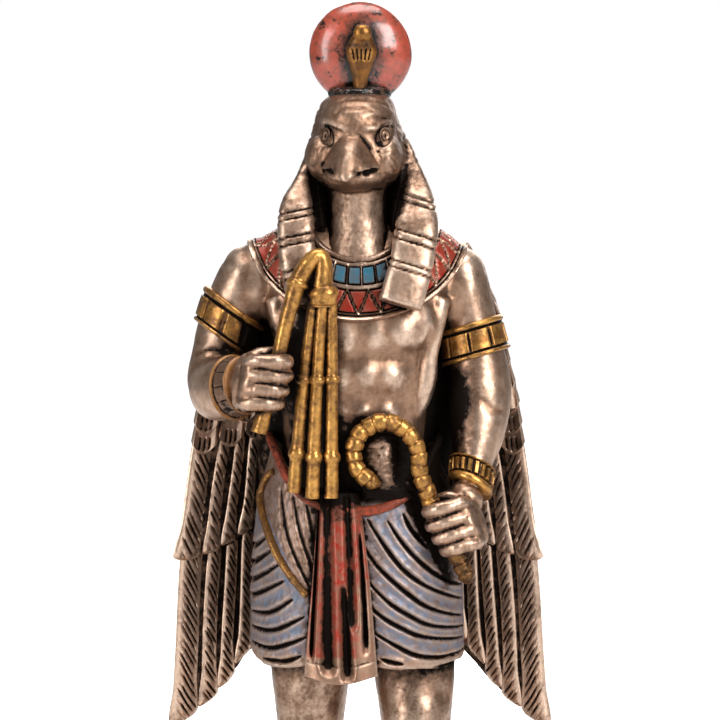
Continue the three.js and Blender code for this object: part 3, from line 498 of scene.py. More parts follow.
def limb_grid(stations, sides=40, steps=6, facing=(0, -1, 0), level=False, square=2.0, swell=None):
    """Skin of a limb: rows along its stations, columns round its section."""
    last = len(stations) - 1
    t = np.linspace(0, last, last * steps + 1)
    body = smooth_path(stations, t)
    centre, half = body[:, :3], body[:, 3:5]
    if swell is not None:
        half = half + swell(t)[:, None]
    along = np.tile((0.0, 0.0, 1.0), (len(t), 1)) if level else unit(np.gradient(centre, axis=0))
    across = unit(np.cross(along, np.asarray(facing, float)))
    front = np.cross(across, along)
    angle = np.linspace(0, 2 * np.pi, sides, endpoint=False)
    u, v = rounded(np.cos(angle), 2 / square), rounded(np.sin(angle), 2 / square)
    return (
        centre[:, None]
        + across[:, None] * (u[None] * half[:, :1])[..., None]
        + front[:, None] * (v[None] * half[:, 1:])[..., None]
    )


def grid_object(name, grid, ring_rows=False, marks=None):
    """Wraps a flat grid into a closed skin: columns run round, rows along, closed in a ring or in caps."""
    grid = np.concatenate([grid, grid[:, :1]], axis=1)
    if ring_rows:
        grid = np.concatenate([grid, grid[:1]], axis=0)
    rows, columns = grid.shape[:2]
    bpy.ops.object.select_all(action="DESELECT")
    bpy.ops.mesh.primitive_grid_add(x_subdivisions=columns - 1, y_subdivisions=rows - 1)
    piece = bpy.context.active_object
    piece.name = piece.data.name = name
    move_points(piece, grid.reshape(-1, 3))
    if marks is not None:
        marks = np.concatenate([marks, marks[:, :1]], axis=1)
        marks = np.concatenate([marks, marks[:1]], axis=0) if ring_rows else marks
        store(piece, "mark", marks.ravel())
    bpy.ops.object.mode_set(mode="EDIT")
    bpy.ops.mesh.select_all(action="SELECT")
    bpy.ops.mesh.remove_doubles(threshold=0.0005)
    if not ring_rows:
        bpy.ops.mesh.fill_holes(sides=0)
    bpy.ops.mesh.select_all(action="SELECT")
    bpy.ops.mesh.normals_make_consistent(inside=False)
    bpy.ops.object.mode_set(mode="OBJECT")
    return piece


def store(piece, name, values):
    layer = piece.data.attributes.new(name, "FLOAT", "POINT")
    layer.data.foreach_set("value", values.astype(np.float32))


def add_wash_and_shade(piece, values):
    """Stores where dark wash and painted shade go on, up to 1.3, or where they are taken off for a painted
    highlight, down to -1.
    """
    store(piece, "wash_and_shade", np.clip(np.broadcast_to(values, len(piece.data.vertices)), -1, 1.3))


def take_values(piece, name):
    """Reads a value stored on the points and removes it, or gives zeros."""
    values = np.zeros(len(piece.data.vertices), np.float32)
    if name in piece.data.attributes:
        piece.data.attributes[name].data.foreach_get("value", values)
        piece.data.attributes.remove(piece.data.attributes[name])
    return values


def select_only(*pieces):
    bpy.ops.object.select_all(action="DESELECT")
    for piece in pieces:
        piece.select_set(True)
    bpy.context.view_layer.objects.active = pieces[0]


def limb(stations, name="limb", **options):
    return grid_object(name, limb_grid(stations, **options))


def egg(centre, radii, turn=(0, 0, 0), segments=32, rings=20, name="egg"):
    """A sphere stretched to three radii, turned by degrees and set in place."""
    bpy.ops.object.select_all(action="DESELECT")
    bpy.ops.mesh.primitive_uv_sphere_add(
        segments=segments, ring_count=rings, location=centre, rotation=[math.radians(a) for a in turn]
    )
    piece = bpy.context.active_object
    piece.name = piece.data.name = name
    piece.scale = radii
    bpy.ops.object.transform_apply(location=True, rotation=True, scale=True)
    return piece


def joined(name, parts):
    select_only(*parts)
    if len(parts) > 1:
        bpy.ops.object.join()
    piece = bpy.context.active_object
    piece.name = piece.data.name = name
    return piece


def apply_modifier(piece, kind, **settings):
    select_only(piece)
    bpy.ops.object.modifier_add(type=kind)
    modifier = piece.modifiers[-1]
    for key, value in settings.items():
        setattr(modifier, key, value)
    bpy.ops.object.modifier_apply(modifier=modifier.name)


def cast(name, parts, voxel, soften):
    """Joins overlapping parts to one skin, as in a casting, and softens the joins."""
    piece = joined(name, parts)
    apply_modifier(piece, "REMESH", mode="VOXEL", voxel_size=voxel, use_smooth_shade=True)
    if soften:
        apply_modifier(piece, "SMOOTH", factor=0.5, iterations=soften)
    return piece


def vectors_of(piece, kind):
    flat = np.empty(len(piece.data.vertices) * 3, np.float32)
    piece.data.vertices.foreach_get(kind, flat)
    return flat.reshape(-1, 3).astype(float)


def points_of(piece):
    return vectors_of(piece, "co")


def normals_of(piece):
    return vectors_of(piece, "normal")


def move_points(piece, points):
    piece.data.vertices.foreach_set("co", points.astype(np.float32).ravel())
    piece.data.update()


def raise_skin(piece, height):
    """Moves the skin along its normals by height(points, normals)."""
    points, normals = points_of(piece), normals_of(piece)
    move_points(piece, points + normals * height(points, normals)[:, None])


def skin_tree(piece, scale=1.0):
    """The skin of a piece, to find where rays meet it."""
    polygons = [tuple(face.vertices) for face in piece.data.polygons]
    return BVHTree.FromPolygons((points_of(piece) / scale).tolist(), polygons)


def distance_to_line(flat, line):
    """Distance of 2-D points from a smooth line, and how far along it the nearest spot is, 0 to 1."""
    path = smooth_path(line, np.linspace(0, len(line) - 1, (len(line) - 1) * 5 + 1))
    nearest = np.full(len(flat), 1e9)
    share = np.zeros(len(flat))
    for k, (a, b) in enumerate(zip(path[:-1], path[1:])):
        span = b - a
        t = np.clip((flat - a) @ span / max(span @ span, 1e-12), 0, 1)
        gap = np.linalg.norm(flat - a - t[:, None] * span, axis=1)
        closer = gap < nearest
        nearest[closer] = gap[closer]
        share[closer] = (k + t[closer]) / (len(path) - 1)
    return nearest, share


def carved(points, lines, width, taper=0.12):
    """0 to 1 in V-shaped cuts along lines given as x and z; the cuts run out at their ends."""
    flat = points[:, [0, 2]]
    cut = np.zeros(len(points))
    for line in lines:
        low = np.min(line, axis=0) - 2 * width
        high = np.max(line, axis=0) + 2 * width
        near = np.all((flat > low) & (flat < high), axis=1)
        if not near.any():
            continue
        gap, share = distance_to_line(flat[near], line)
        end = np.clip(np.minimum(share, 1 - share) / taper, 0, 1)
        cut[near] = np.maximum(cut[near], np.clip(1 - gap / (width * (0.45 + 0.55 * end)), 0, 1) * end**0.4)
    return cut


def step(low, high, value):
    """0 up to low, 1 from high on, softly rising in between."""
    t = np.clip((value - low) / (high - low), 0, 1)
    return t * t * (3 - 2 * t)


def fade(low, high, value):
    return 1 - step(low, high, value)


def bell(value, centre, width):
    """1 at the centre, softly down to nearly 0 two widths away."""
    return np.exp(-(((value - centre) / width) ** 2))


def between(pair, share):
    return pair[0] + (pair[1] - pair[0]) * share


def read_off(table, value):
    """Second number of a table's pairs where the first has the value, by straight lines in between."""
    return np.interp(value, *np.array(table).T)


def both_faces(u):
    """Places across a leaf, over its front and back again, and 1 in front or -1 behind."""
    return np.concatenate([u, u[::-1]]), np.repeat([1.0, -1.0], len(u))


def ripple(points, size, seed):
    """Soft uneven surface of a hand-made model, -1 to 1, from a few crossed waves."""
    rng = np.random.default_rng(seed)
    total = np.zeros(len(points))
    for _ in range(7):
        direction = unit(rng.normal(size=3))
        length = size * rng.uniform(0.6, 1.6)
        total += np.sin(points @ direction * 2 * np.pi / length + rng.uniform(0, 6.3))
    return total / 4


def uneven(points, *waves):
    """Height of ripples given as height, size and seed."""
    return sum(height * ripple(points, size, seed) for height, size, seed in waves)


def roughen(piece, *waves):
    raise_skin(piece, lambda p, n: uneven(p, *waves))


def swellings(points, bumps):
    """Height of soft bumps given as x, z, half width, half height, height."""
    height = np.zeros(len(points))
    for x, z, wide, tall, rise in bumps:
        height += rise * bell(points[:, 0], x, wide) * bell(points[:, 2], z, tall)
    return height


# Finishes


def link_mix(tree, kind, factor, first, second):
    """A Mix node of floats or colours. Each input is a socket to link or a value to set."""
    node = tree.nodes.new("ShaderNodeMix")
    node.data_type = kind
    slots = {"FLOAT": (2, 3, 0), "RGBA": (6, 7, 2)}[kind]
    for socket, value in ((0, factor), (slots[0], first), (slots[1], second)):
        if isinstance(value, bpy.types.NodeSocket):
            tree.links.new(value, node.inputs[socket])
        elif isinstance(value, (int, float)):
            node.inputs[socket].default_value = value
        else:
            node.inputs[socket].default_value = (*value, 1)
    return node.outputs[slots[2]]


def link_math(tree, operation, *values, clamp=False):
    node = tree.nodes.new("ShaderNodeMath")
    node.operation = operation
    node.use_clamp = clamp
    for socket, value in zip(node.inputs, values):
        if isinstance(value, bpy.types.NodeSocket):
            tree.links.new(value, socket)
        else:
            socket.default_value = value
    return node.outputs[0]


def attribute(tree, name, output="Fac"):
    node = tree.nodes.new("ShaderNodeAttribute")
    node.attribute_name = name
    return node.outputs[output]


def set_inputs(node, values):
    for name, value in values.items():
        node.inputs[name].default_value = value


def noise(tree, scale, detail=3.0, roughness=0.6):
    place = tree.nodes.new("ShaderNodeTexCoord")
    node = tree.nodes.new("ShaderNodeTexNoise")
    set_inputs(node, {"Scale": scale, "Detail": detail, "Roughness": roughness})
    tree.links.new(place.outputs["Object"], node.inputs["Vector"])
    return node.outputs["Fac"]


def antiqued(
    name, body, light, wash, metallic, roughness, coat=0.0, painted=False, speckle=0.0, grime=0.0, wear=0.6,
    gloss=0.5, clouding=1.1,
):
    """A finish with dark wash and painted shade in the hollows, a body colour, and bright rubbed edges with
    painted sheen.
    """
    material = bpy.data.materials.new(name)
    material.use_nodes = True
    tree = material.node_tree
    shader = tree.nodes["Principled BSDF"]
    mottle = noise(tree, MOTTLE)
    cloud = noise(tree, CLOUD, detail=5.0, roughness=0.7)
    grain = noise(tree, GRAIN, detail=4.0)
    rubbing = attribute(tree, "rub")
    brown_wash_and_shade_colour = link_mix(tree, "RGBA", 0.72, body, WASH_AND_SHADE_BROWN)
    shine = metallic
    if painted:
        worn = link_math(tree, "MULTIPLY", rubbing, wear)
        patchy = link_math(tree, "MULTIPLY_ADD", cloud, 3.2 * wear, -1.6 * wear)
        cover = link_math(tree, "SUBTRACT", attribute(tree, "paint", "Alpha"), worn)
        cover = link_math(tree, "SUBTRACT", cover, patchy, clamp=True)
        paint = attribute(tree, "paint", "Color")
        body, light = link_mix(tree, "RGBA", cover, body, paint), link_mix(tree, "RGBA", cover, light, paint)
        shine = link_mix(tree, "FLOAT", cover, metallic, 0.2)
        gloss = link_mix(tree, "FLOAT", cover, gloss, 0.2)
        brown_wash_and_shade_colour = link_mix(tree, "RGBA", 0.6, body, brown_wash_and_shade_colour)
    # The rubbed colour shows on worn edges and where painted sheen is given.
    rub = link_math(tree, "MULTIPLY", rubbing, link_math(tree, "MULTIPLY", cloud, 1.6), clamp=True)
    rubbed = link_mix(tree, "RGBA", rub, body, light)
    # The hollow attribute holds wash together with painted shade and shadow; grime and noise are added to
    # it.
    hollow = link_math(tree, "ADD", attribute(tree, "hollow"), grime - 1.11 - 0.5 * clouding)
    for pattern, share in ((mottle, 1.1), (cloud, 0.6 + clouding), (grain, 0.7)):
        hollow = link_math(tree, "MULTIPLY_ADD", pattern, share, hollow)
    if speckle:
        spots = tree.nodes.new("ShaderNodeValToRGB")
        spots.color_ramp.elements[0].position = 0.57
        spots.color_ramp.elements[1].position = 0.66
        tree.links.new(noise(tree, SPOTS, detail=5.0, roughness=0.7), spots.inputs["Fac"])
        hollow = link_math(tree, "MULTIPLY_ADD", spots.outputs["Color"], speckle, hollow)
    # Brown, then the wash colour, where wash and painted shade fill the hollows.
    brown_wash_and_shade_share = link_math(tree, "MULTIPLY", hollow, 1.7, clamp=True)
    black_wash_and_shade_share = link_math(tree, "MULTIPLY_ADD", hollow, 1.8, -1.0, clamp=True)
    colour_with_wash_and_shade = link_mix(tree, "RGBA", link_math(tree, "MULTIPLY", brown_wash_and_shade_share, 0.9), rubbed, brown_wash_and_shade_colour)
    rough = link_math(tree, "MULTIPLY_ADD", cloud, 0.22, roughness - 0.11)
    for socket, kind, out_of_wash_and_shade, in_wash_and_shade in (
        ("Base Color", "RGBA", colour_with_wash_and_shade, wash),
        ("Metallic", "FLOAT", shine, 0.0),
        ("Roughness", "FLOAT", rough, 0.5),
        ("Specular IOR Level", "FLOAT", gloss, 0.04),
    ):
        tree.links.new(link_mix(tree, kind, black_wash_and_shade_share, out_of_wash_and_shade, in_wash_and_shade), shader.inputs[socket])
    set_inputs(shader, {"Coat Weight": coat, "Coat Roughness": 0.16})
    uneven_skin, bump = tree.nodes.new("ShaderNodeBump"), tree.nodes.new("ShaderNodeBump")
    set_inputs(uneven_skin, {"Strength": 0.5, "Distance": 0.06 * MM})
    set_inputs(bump, {"Strength": 0.3, "Distance": 0.03 * MM})
    tree.links.new(cloud, uneven_skin.inputs["Height"])
    tree.links.new(grain, bump.inputs["Height"])
    tree.links.new(uneven_skin.outputs["Normal"], bump.inputs["Normal"])
    tree.links.new(bump.outputs["Normal"], shader.inputs["Normal"])
    return material


def bronze_finish(name, **changes):
    c = bpy.context.scene.figurine_colours
    settings = {"light": tuple(c.bronze_light), "metallic": 0.88, "roughness": 0.33, **changes}
    return antiqued(name, tuple(c.bronze), wash=tuple(c.wash), **settings)


def gold_finish(name):
    c = bpy.context.scene.figurine_colours
    return antiqued(name, tuple(c.gold), tuple(c.gold_light), tuple(c.wash), 0.75, 0.3, grime=0.26)


def enamel_finish(name, **changes):
    c = bpy.context.scene.figurine_colours
    deep_red = tuple(0.7 * part for part in c.red)
    settings = {"metallic": 0.15, "roughness": 0.3, "coat": 0.6, "speckle": 0.8, **changes}
    return antiqued(name, deep_red, tuple(c.red_light), tuple(c.wash), **settings)


def spoken(name):
    return name.replace("_", " ")


def set_paint(piece, colours, cover):
    """Stores a paint colour and how far it covers the bronze on every point."""
    layer = piece.data.attributes.new("paint", "FLOAT_COLOR", "POINT")
    values = np.column_stack([np.broadcast_to(colours, (len(cover), 3)), cover]).astype(np.float32)
    layer.data.foreach_set("color", values.ravel())


def settle(piece, material, smooth_angle=None, **ageing):
    """Brings a finished piece to metres, gives it its finish and hangs it on the frame.

    The ageing tells how much polish and painted sheen, painted shade from occlusion (the wash share), wash
    in cuts and rubbing the piece gets.
    """
    for name, share in ageing.items():
        piece[name] = share
    piece.data.transform(Matrix.Scale(MM, 4))
    piece.data.materials.clear()
    piece.data.materials.append(material)
    select_only(piece)
    if smooth_angle:
        bpy.ops.object.shade_smooth_by_angle(angle=math.radians(smooth_angle))
    else:
        bpy.ops.object.shade_smooth()
    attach(piece, "root")
    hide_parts("figure")
    piece["cast_piece"] = True
    return piece


# Pieces


class FigurineOperator:
    bl_options = {"REGISTER", "UNDO"}

    def execute(self, context):
        made = self.build(context.scene.figurine_sizes, context.scene.figurine_colours)
        if not made:
            raise RuntimeError(f"{self.bl_label} made nothing")
        return {"FINISHED"}


class FIGURINE_OT_body(FigurineOperator, bpy.types.Operator):
    """Model the chest, belly, shoulders and arms"""

    bl_idname = "figurine.body"
    bl_label = "Body and arms"

    def build(self, sizes, colours):
        parts = [limb(TORSO, sides=40, level=True, square=2.3)]
        (x, y, z), radii = BREAST
        for side in BOTH_SIDES:
            parts.append(egg((side * x, y, z), radii))
            parts.append(limb([(side * at, *rest) for at, *rest in SIDE_FOLD]))
        parts.extend(egg(centre, radii, (0, lean, 0)) for centre, radii, lean in SHOULDERS)
        left_root = [(LEFT_ROOT_X - x, y, z - LEFT_ROOT_DROP, w, d) for x, y, z, w, d in ARM_ROOT]
        parts.append(limb(ARM_ROOT + RIGHT_UPPER_ARM))
        parts.append(limb(RIGHT_FOREARM, facing=(0, 0, 1)))
        parts.append(limb(left_root + LEFT_ARM))
        parts.extend(egg(centre, radii, (0, lean, 0)) for centre, radii, lean in ELBOWS)
        piece = cast("body", parts, voxel=0.235, soften=8)

        def height(p, n):
            front = np.clip(-n[:, 1] * 1.6, 0, 1) * (np.abs(p[:, 0]) < 7.4)
            folds = sum(depth * carved(p, [line], width, taper) for line, depth, width, taper in SKIN_FOLDS)
            rough = uneven(p, (0.02, 2.6, 1), (0.012, 0.8, 11))
            return swellings(p, SWELLINGS) * front - folds * (n[:, 1] < 0) + rough

        raise_skin(piece, height)
        p = points_of(piece)
        x, y, z = p.T
        # Painted shadow on the inner side of the left arm and on the belly's side next to it.
        inward = read_off(ARM_SHADOW, z) - x + 0.16 * ripple(p, 1.6, 34)
        painted_arm_shadow = 0.6 * step(-1.6, 0.2, inward) + step(-0.4, 1.4, inward)
        painted_arm_shadow *= step(-0.3, 0.5, x - read_off(SIDE_SHADOW, z)) * fade(57.5, 59.5, z)
        crease = 0.8 * carved(p, [ELBOW_CREASE], 0.3, taper=0.4) * (y < 0)
        # Darker in the elbow crease, with painted shade behind the flail and beside the right arm, and the
        # painted arm shadow.
        add_wash_and_shade(piece, crease + swellings(p, BODY_SHADE) * (1 + 0.3 * ripple(p, 1.4, 35)) + painted_arm_shadow)
        return settle(piece, bronze_finish("Cast bronze body", roughness=0.36, clouding=0.65), cut_wash=0.3)


def fist(centre, grip, reach):
    """A closed hand: four fingers side by side up the grip, bent round it, a thumb and a palm."""
    up, along = unit(np.array(grip, float)), unit(np.array(reach, float))
    out = unit(np.cross(along, up))
    out *= -np.sign(out[1])

    def place(a, o, g):
        return np.array(centre) + (along * a + out * o + up * g) * HAND_SCALE

    def shaped(stations, **options):
        """A limb through stations in the hand's own directions, with one radius or two."""
        placed = []
        for a, o, g, *radii in stations:
            placed.append((*place(a, o, g), radii[0] * HAND_SCALE, radii[-1] * HAND_SCALE))
        return limb(placed, **options)

    parts = []
    for rise, length in FINGERS:
        finger = [
            (-2.0, 0.2, rise * 0.9, 0.76),
            (-1.2, 1.0, rise, 0.8),
            (0.2, 1.25, rise, 0.8),
            (1.5 * length, 1.05, rise, 0.82),
            (2.35 * length, 0.1, rise, 0.78),
            (1.6 * length, -1.0, rise, 0.6),
        ]
        parts.append(shaped(finger, sides=16, facing=grip))
        parts.append(egg(place(-1.35, 0.95, rise), np.array(KNUCKLE) * HAND_SCALE))
    for half in (PALM, INNER_PALM, HAND_BACK):
        other_half = [(a, o, -g, w, d) for a, o, g, w, d in half[-2::-1]]
        parts.append(shaped(half + other_half, facing=reach))
    parts.append(shaped(THUMB, sides=16, facing=grip))
    return parts


class FIGURINE_OT_hands(FigurineOperator, bpy.types.Operator):
    """Model both fists, each closed round what it holds"""

    bl_idname = "figurine.hands"
    bl_label = "Hands"

    def build(self, sizes, colours):
        for name, hand, arm, facing in (
            ("right_hand", RIGHT_FIST, RIGHT_FOREARM, (0, 0, 1)),
            ("left_hand", LEFT_FIST, LEFT_ARM, (0, -1, 0)),
        ):
            wrist = [smooth_path(arm, len(arm) - 1 - back)[0] for back in (1.2, 0.7, 0.2)]
            parts = fist(**hand) + [limb(wrist, facing=facing)]
            if arm is LEFT_ARM:
                parts.append(egg(*LEFT_WRIST))
            piece = cast(name, parts, voxel=0.11, soften=3)
            roughen(piece, (0.03, 1.3, 12), (0.012, 0.5, 39))
            away = points_of(piece) - np.array(hand["centre"])
            up, along = (away @ unit(np.array(hand[way], float)) for way in ("grip", "reach"))
            # Painted shade in the gaps between the fingers, towards their tips.
            shade_between_fingers = np.max([bell(up, at * HAND_SCALE, 0.17) for at in FINGER_GAPS], axis=0)
            add_wash_and_shade(piece, shade_between_fingers * step(-0.9, 0.3, along) * 1.1)
            settle(piece, bronze_finish(f"Cast bronze {spoken(name)}"))
        return True


class FIGURINE_OT_legs(FigurineOperator, bpy.types.Operator):
    """Model the legs and bare feet, the left one forward"""

    bl_idname = "figurine.legs"
    bl_label = "Legs and feet"

    def build(self, sizes, colours):
        parts = []
        for leg, side in ((RIGHT_LEG, -1), (LEFT_LEG, 1)):
            x, y = leg[-1][:2]

            def place(across, forward, up):
                return (x + side * (across + 0.12 * forward), y - forward, BASE_TOP + up)

            foot = [(*place(a, f, u), w, h) for a, f, u, w, h in FOOT]
            parts.append(limb(leg, sides=32, level=True))
            parts.append(limb(foot, facing=(0, 0, 1)))
            knee_x, knee_y = leg[KNEE][:2]
            kneecap = egg((knee_x, knee_y - 1.9, 22.6), (1.7, 1.5, 1.8))
            calf = egg((knee_x + side * 0.9, knee_y + 2.0, 16.6), (1.7, 2.0, 3.4))
            ankle = [egg((x + across, y - 0.3, BASE_TOP + 2.6), (0.6, 0.9, 0.8)) for across in (-1.7, 1.7)]
            parts.extend([kneecap, calf, *ankle])
            for toe in range(5):
                radius = 0.78 if toe == 0 else 0.56 - 0.03 * toe
                across = -1.85 + 0.98 * toe + (0.1 if toe else 0)
                forward = 6.9 - 0.33 * toe
                radii = (radius * 0.92, 1.15, radius)
                parts.append(egg(place(across, forward, radius * 0.9), radii, rings=12))
        piece = cast("legs", parts, voxel=0.33, soften=3)
        points = points_of(piece)
        points[:, 2] = np.maximum(points[:, 2], BASE_TOP)
        move_points(piece, points)
        raise_skin(piece, lambda p, n: 0.03 * ripple(p, 2.4, 2) * step(BASE_TOP, BASE_TOP + 1, p[:, 2]))
        # Painted shadow at the top of the legs, under the kilt's hem.
        add_wash_and_shade(piece, 0.6 * step(27.4, 29.4, points_of(piece)[:, 2]))
        return settle(piece, bronze_finish("Cast bronze legs", grime=0.29, clouding=0.8))


def beak_grid(columns=28, steps=6):
    """Skin of the beak: each section is an arch over a slightly sagging lower edge."""
    t = np.linspace(0, len(BEAK) - 1, (len(BEAK) - 1) * steps + 1)
    padded = [(0, *section) for section in BEAK]
    y, level, high, wide, sag = smooth_path(padded, t)[:, 1:].T[..., None]
    u = np.cos(np.linspace(0, np.pi, columns))
    over = high * (1 - np.abs(u) ** np.linspace(2.3, 1.5, len(t))[:, None])
    under = -sag * (1 - u**2)
    x = np.concatenate([wide * u, wide * u[-2:0:-1]], axis=1)
    z = np.concatenate([level + over, level + under[:, -2:0:-1]], axis=1)
    return np.stack([x, y + 0 * x, z], axis=-1)


def from_eye(p):
    """Distance of points from the nearer eye's middle, in its own widths."""
    far = np.full(len(p), FAR_FROM_EYES)
    for x, z, tilt, wide in EYES:
        off = p[:, 0] - x
        up = p[:, 2] - z + tilt * off
        far = np.minimum(far, np.hypot(off / (wide + EYE_RIM), up / (EYE_TALL + EYE_RIM)))
    return np.where(p[:, 1] < -1.5, far, FAR_FROM_EYES)


class FIGURINE_OT_head(FigurineOperator, bpy.types.Operator):
    """Model the falcon's head with its hooked beak, brow ledge and ringed eyes"""

    bl_idname = "figurine.head"
    bl_label = "Falcon head"

    def relief(self, p, n):
        """Sockets under the brow ledge, and the lines and hollows of the face."""
        x, _, z = p.T
        under_brow = read_off(BROW, x) - z
        socket = fade(0.85, 1.15, from_eye(p)) * step(-0.12, 0.14, under_brow)
        ledge = bell(under_brow, -0.25, 0.3) * step(0.3, 1.2, np.abs(x + 0.3))
        ledge *= fade(2.7, 3.4, np.abs(x + 0.2))
        bridge = bell(x, -0.7, 1.1) * bell(z, 75.6, 1.1)
        depth = 0.24 * socket - 0.23 * ledge - 0.25 * bridge + swellings(p, GAPE)
        for lines, cut, width, taper in FACE_CUTS:
            depth += cut * carved(p, lines, width, taper)
        return np.where(n[:, 1] < 0.15, -depth, 0) + uneven(p, (0.03, 1.6, 3), (0.014, 0.6, 13))

    def wash_and_shade(self, p):
        """Painted shade round the eyes, under the brow, at throat and chin and on the outer edges, wash in
        the lids, wrinkles, beak grooves and gape, and a painted highlight on the front of the neck.
        """
        x, y, z = p.T
        side, front = np.abs(x), y < -2
        # Painted shadow just under the brow.
        painted_brow_shadow = bell(read_off(BROW, x) - z, 0.03, 0.13) * step(0.6, 1.2, np.abs(x + 0.4))
        dark = [
            0.5 * bell(from_eye(p), 1.05, 0.14),
            0.7 * painted_brow_shadow * fade(2.7, 3.2, np.abs(x + 0.2)) * front,
            0.6 * carved(p, LIDS, 0.16, taper=0.3),
            (0.4 * carved(p, WRINKLES, 0.3, taper=0.4) + swellings(p, EYE_CORNER_SHADE)) * front,
            fade(72.2, 73.4, z) * step(2.0, 2.8, side),
            0.5 * bell(z, 72.3, 0.5),
            0.22 * carved(p, BEAK_GROOVES, 0.3, taper=0.4) * front,
            0.3 * step(2.7, 3.8, side) + 0.2 * step(79.3, 80.3, z),
            0.35 * swellings(p, GAPE) * front,
        ]
        # Painted highlight on the front of the neck, given as wash and shade taken off.
        painted_neck_highlight = 0.6 * fade(71.0, 72.2, z) * fade(1.5, 2.4, side)
        return np.max(dark, axis=0) - painted_neck_highlight

    def eye(self, skin, name, x, z, tilt, wide):
        """An egg with rings and a pupil, set in the skin and turned along it."""
        spot, facing = skin.ray_cast(Vector((x, IN_FRONT, z)), Vector((0, 1, 0)))[:2]
        eye = egg((0, 0, 0), (wide, 0.3, EYE_TALL), segments=64, rings=40, name=name)

        def from_pupil(p):
            return np.hypot(p[:, 0] / wide, p[:, 2] / EYE_TALL)

        def rings(p, n):
            r = from_pupil(p)
            raised = 0.06 * (bell(r, 0.78, 0.1) + bell(r, 0.42, 0.09)) - 0.1 * bell(r, 0, 0.15)
            return np.where(p[:, 1] < 0, raised, 0)

        raise_skin(eye, rings)
        r = from_pupil(points_of(eye))
        wash_and_shade = 0.5 * bell(r, 0.6, 0.08) + 0.7 * step(0.88, 1.0, r) + 0.5 * fade(0.1, 0.2, r)
        # Dark rings and pupil, and painted shade over the whole eye, much more on the right eye, on the far
        # side of the turned head.
        add_wash_and_shade(eye, wash_and_shade + (0.5 if x < 0 else 0.1))
        turn = Matrix.Rotation(math.atan2(facing.x, -facing.y) * 0.6, 4, "Z")
        place = Matrix.Translation(spot + Vector((0, -0.06, 0))) @ turn
        eye.data.transform(place @ Matrix.Rotation(tilt * 0.8, 4, "Y"))
        settle(eye, bronze_finish(f"Cast bronze {spoken(name)}", grime=0.2))

    def build(self, sizes, colours):
        parts = [
            limb(FACE, sides=48, level=True, square=2.15),
            grid_object("beak", beak_grid()),
            egg((0, -3.9, 73.3), (2.8, 2.5, 1.5)),
        ]
        parts.extend(egg((side * 3.0, -2.9, 74.9), (1.35, 2.1, 2.0)) for side in BOTH_SIDES)
        head = joined("falcon_head", parts)
        head.data.transform(Matrix.Rotation(HEAD_TURN, 4, "Z"))
        head.data.transform(Matrix.Translation((HEAD_SHIFT, 0, 0)))
        piece = cast("falcon_head", [head, limb(NECK, sides=40, level=True)], voxel=0.122, soften=6)
        raise_skin(piece, self.relief)
        add_wash_and_shade(piece, self.wash_and_shade(points_of(piece)))
        skin = skin_tree(piece)
        settle(piece, bronze_finish("Cast bronze head", roughness=0.42, grime=0.15), rub_share=0.65)
        for name, spot in zip(("right_eye", "left_eye"), EYES):
            self.eye(skin, name, *spot)
        return True


class FIGURINE_OT_headcloth(FigurineOperator, bpy.types.Operator):
    """Model the striped headcloth with its two lappets and gathered tail"""

    bl_idname = "figurine.headcloth"
    bl_label = "Headcloth"

    def build(self, sizes, colours):
        cloth = limb(HEADCLOTH, "headcloth", sides=48, level=True)
        hollow = limb(HEADCLOTH_HOLLOW, "hollow", sides=24, level=True)
        apply_modifier(cloth, "BOOLEAN", object=hollow, operation="DIFFERENCE")
        bpy.data.objects.remove(hollow)
        lappets = [limb(lappet, square=3) for lappet in (RIGHT_LAPPET, LEFT_LAPPET)]
        piece = cast("headcloth", [cloth, *lappets, limb(HEADCLOTH_TAIL, square=2.6)], voxel=0.17, soften=4)
        raise_skin(piece, self.relief)
        p = points_of(piece)
        x, y, z = p.T
        # Painted shade in the recess inside the lappets beside the neck, over the front of the right lappet
        # and the upper left lappet, and more near the face.
        inner = read_off(LAPPET_INNER, z) + 0.15 * ripple(p, 1.2, 36)
        inside = fade(-0.35, 0.35, np.abs(x) - inner) * (y > -5.4) * (y < 1)
        inside *= step(65.3, 65.8, z) * fade(73.0, 74.2, z)
        shaded = (0.3 + 0.12 * ripple(p, 1.8, 40)) * np.where(x < 0, 1.0, step(65.5, 69.5, z))
        add_wash_and_shade(piece, inside + (shaded + 0.15 * step(71.8, 74.0, z)) * (y < 1.5))
        finish = bronze_finish("Cast bronze headcloth", roughness=0.38, grime=-0.02)
        # Painted sheen over the headcloth, with less of the painted occlusion shade.
        return settle(piece, finish, polish=0.3, wash=0.55)

    def relief(self, p, n):
        """Bands of two cut lines round the lappets, pleats over the crown and a wrinkled surface."""
        x, y, z = p.T
        across = np.abs(x)
        droop = np.where(x > 0, 0.3, 0.2) * (across - 4.6)
        level = z + np.where(y < 1.5, droop, 0.1 * across**2 / 4)
        lines = np.zeros(len(p))
        for left, right in CLOTH_BANDS:
            upper, lower = (np.where(x > 0, a, b) for a, b in zip(left, right))
            for at in (upper, lower):
                lines = np.maximum(lines, bell(level, at, 0.13))
            off_middle = np.abs(level - (upper + lower) / 2) / (upper - lower)
            lines = lines - 0.05 * np.clip(1 - off_middle**2 * 3, 0, 1)
        lines *= (across > 2.6) | (y > 1)
        pleats = np.clip(1 - np.abs(np.mod(z, 1.25) - 0.5) / 0.16, 0, 1)
        pleats *= step(74.3, 75.0, z) * fade(79.4, 80.4, z) * step(-0.4, 0.6, y)
        wrinkles = ripple(p * (1, 1, 2.2), 1.6, 31) * step(72.5, 74, z) * fade(79.5, 80.5, z)
        return 0.05 * wrinkles - 0.15 * lines - 0.12 * pleats + uneven(p, (0.018, 2.0, 4), (0.01, 0.6, 14))


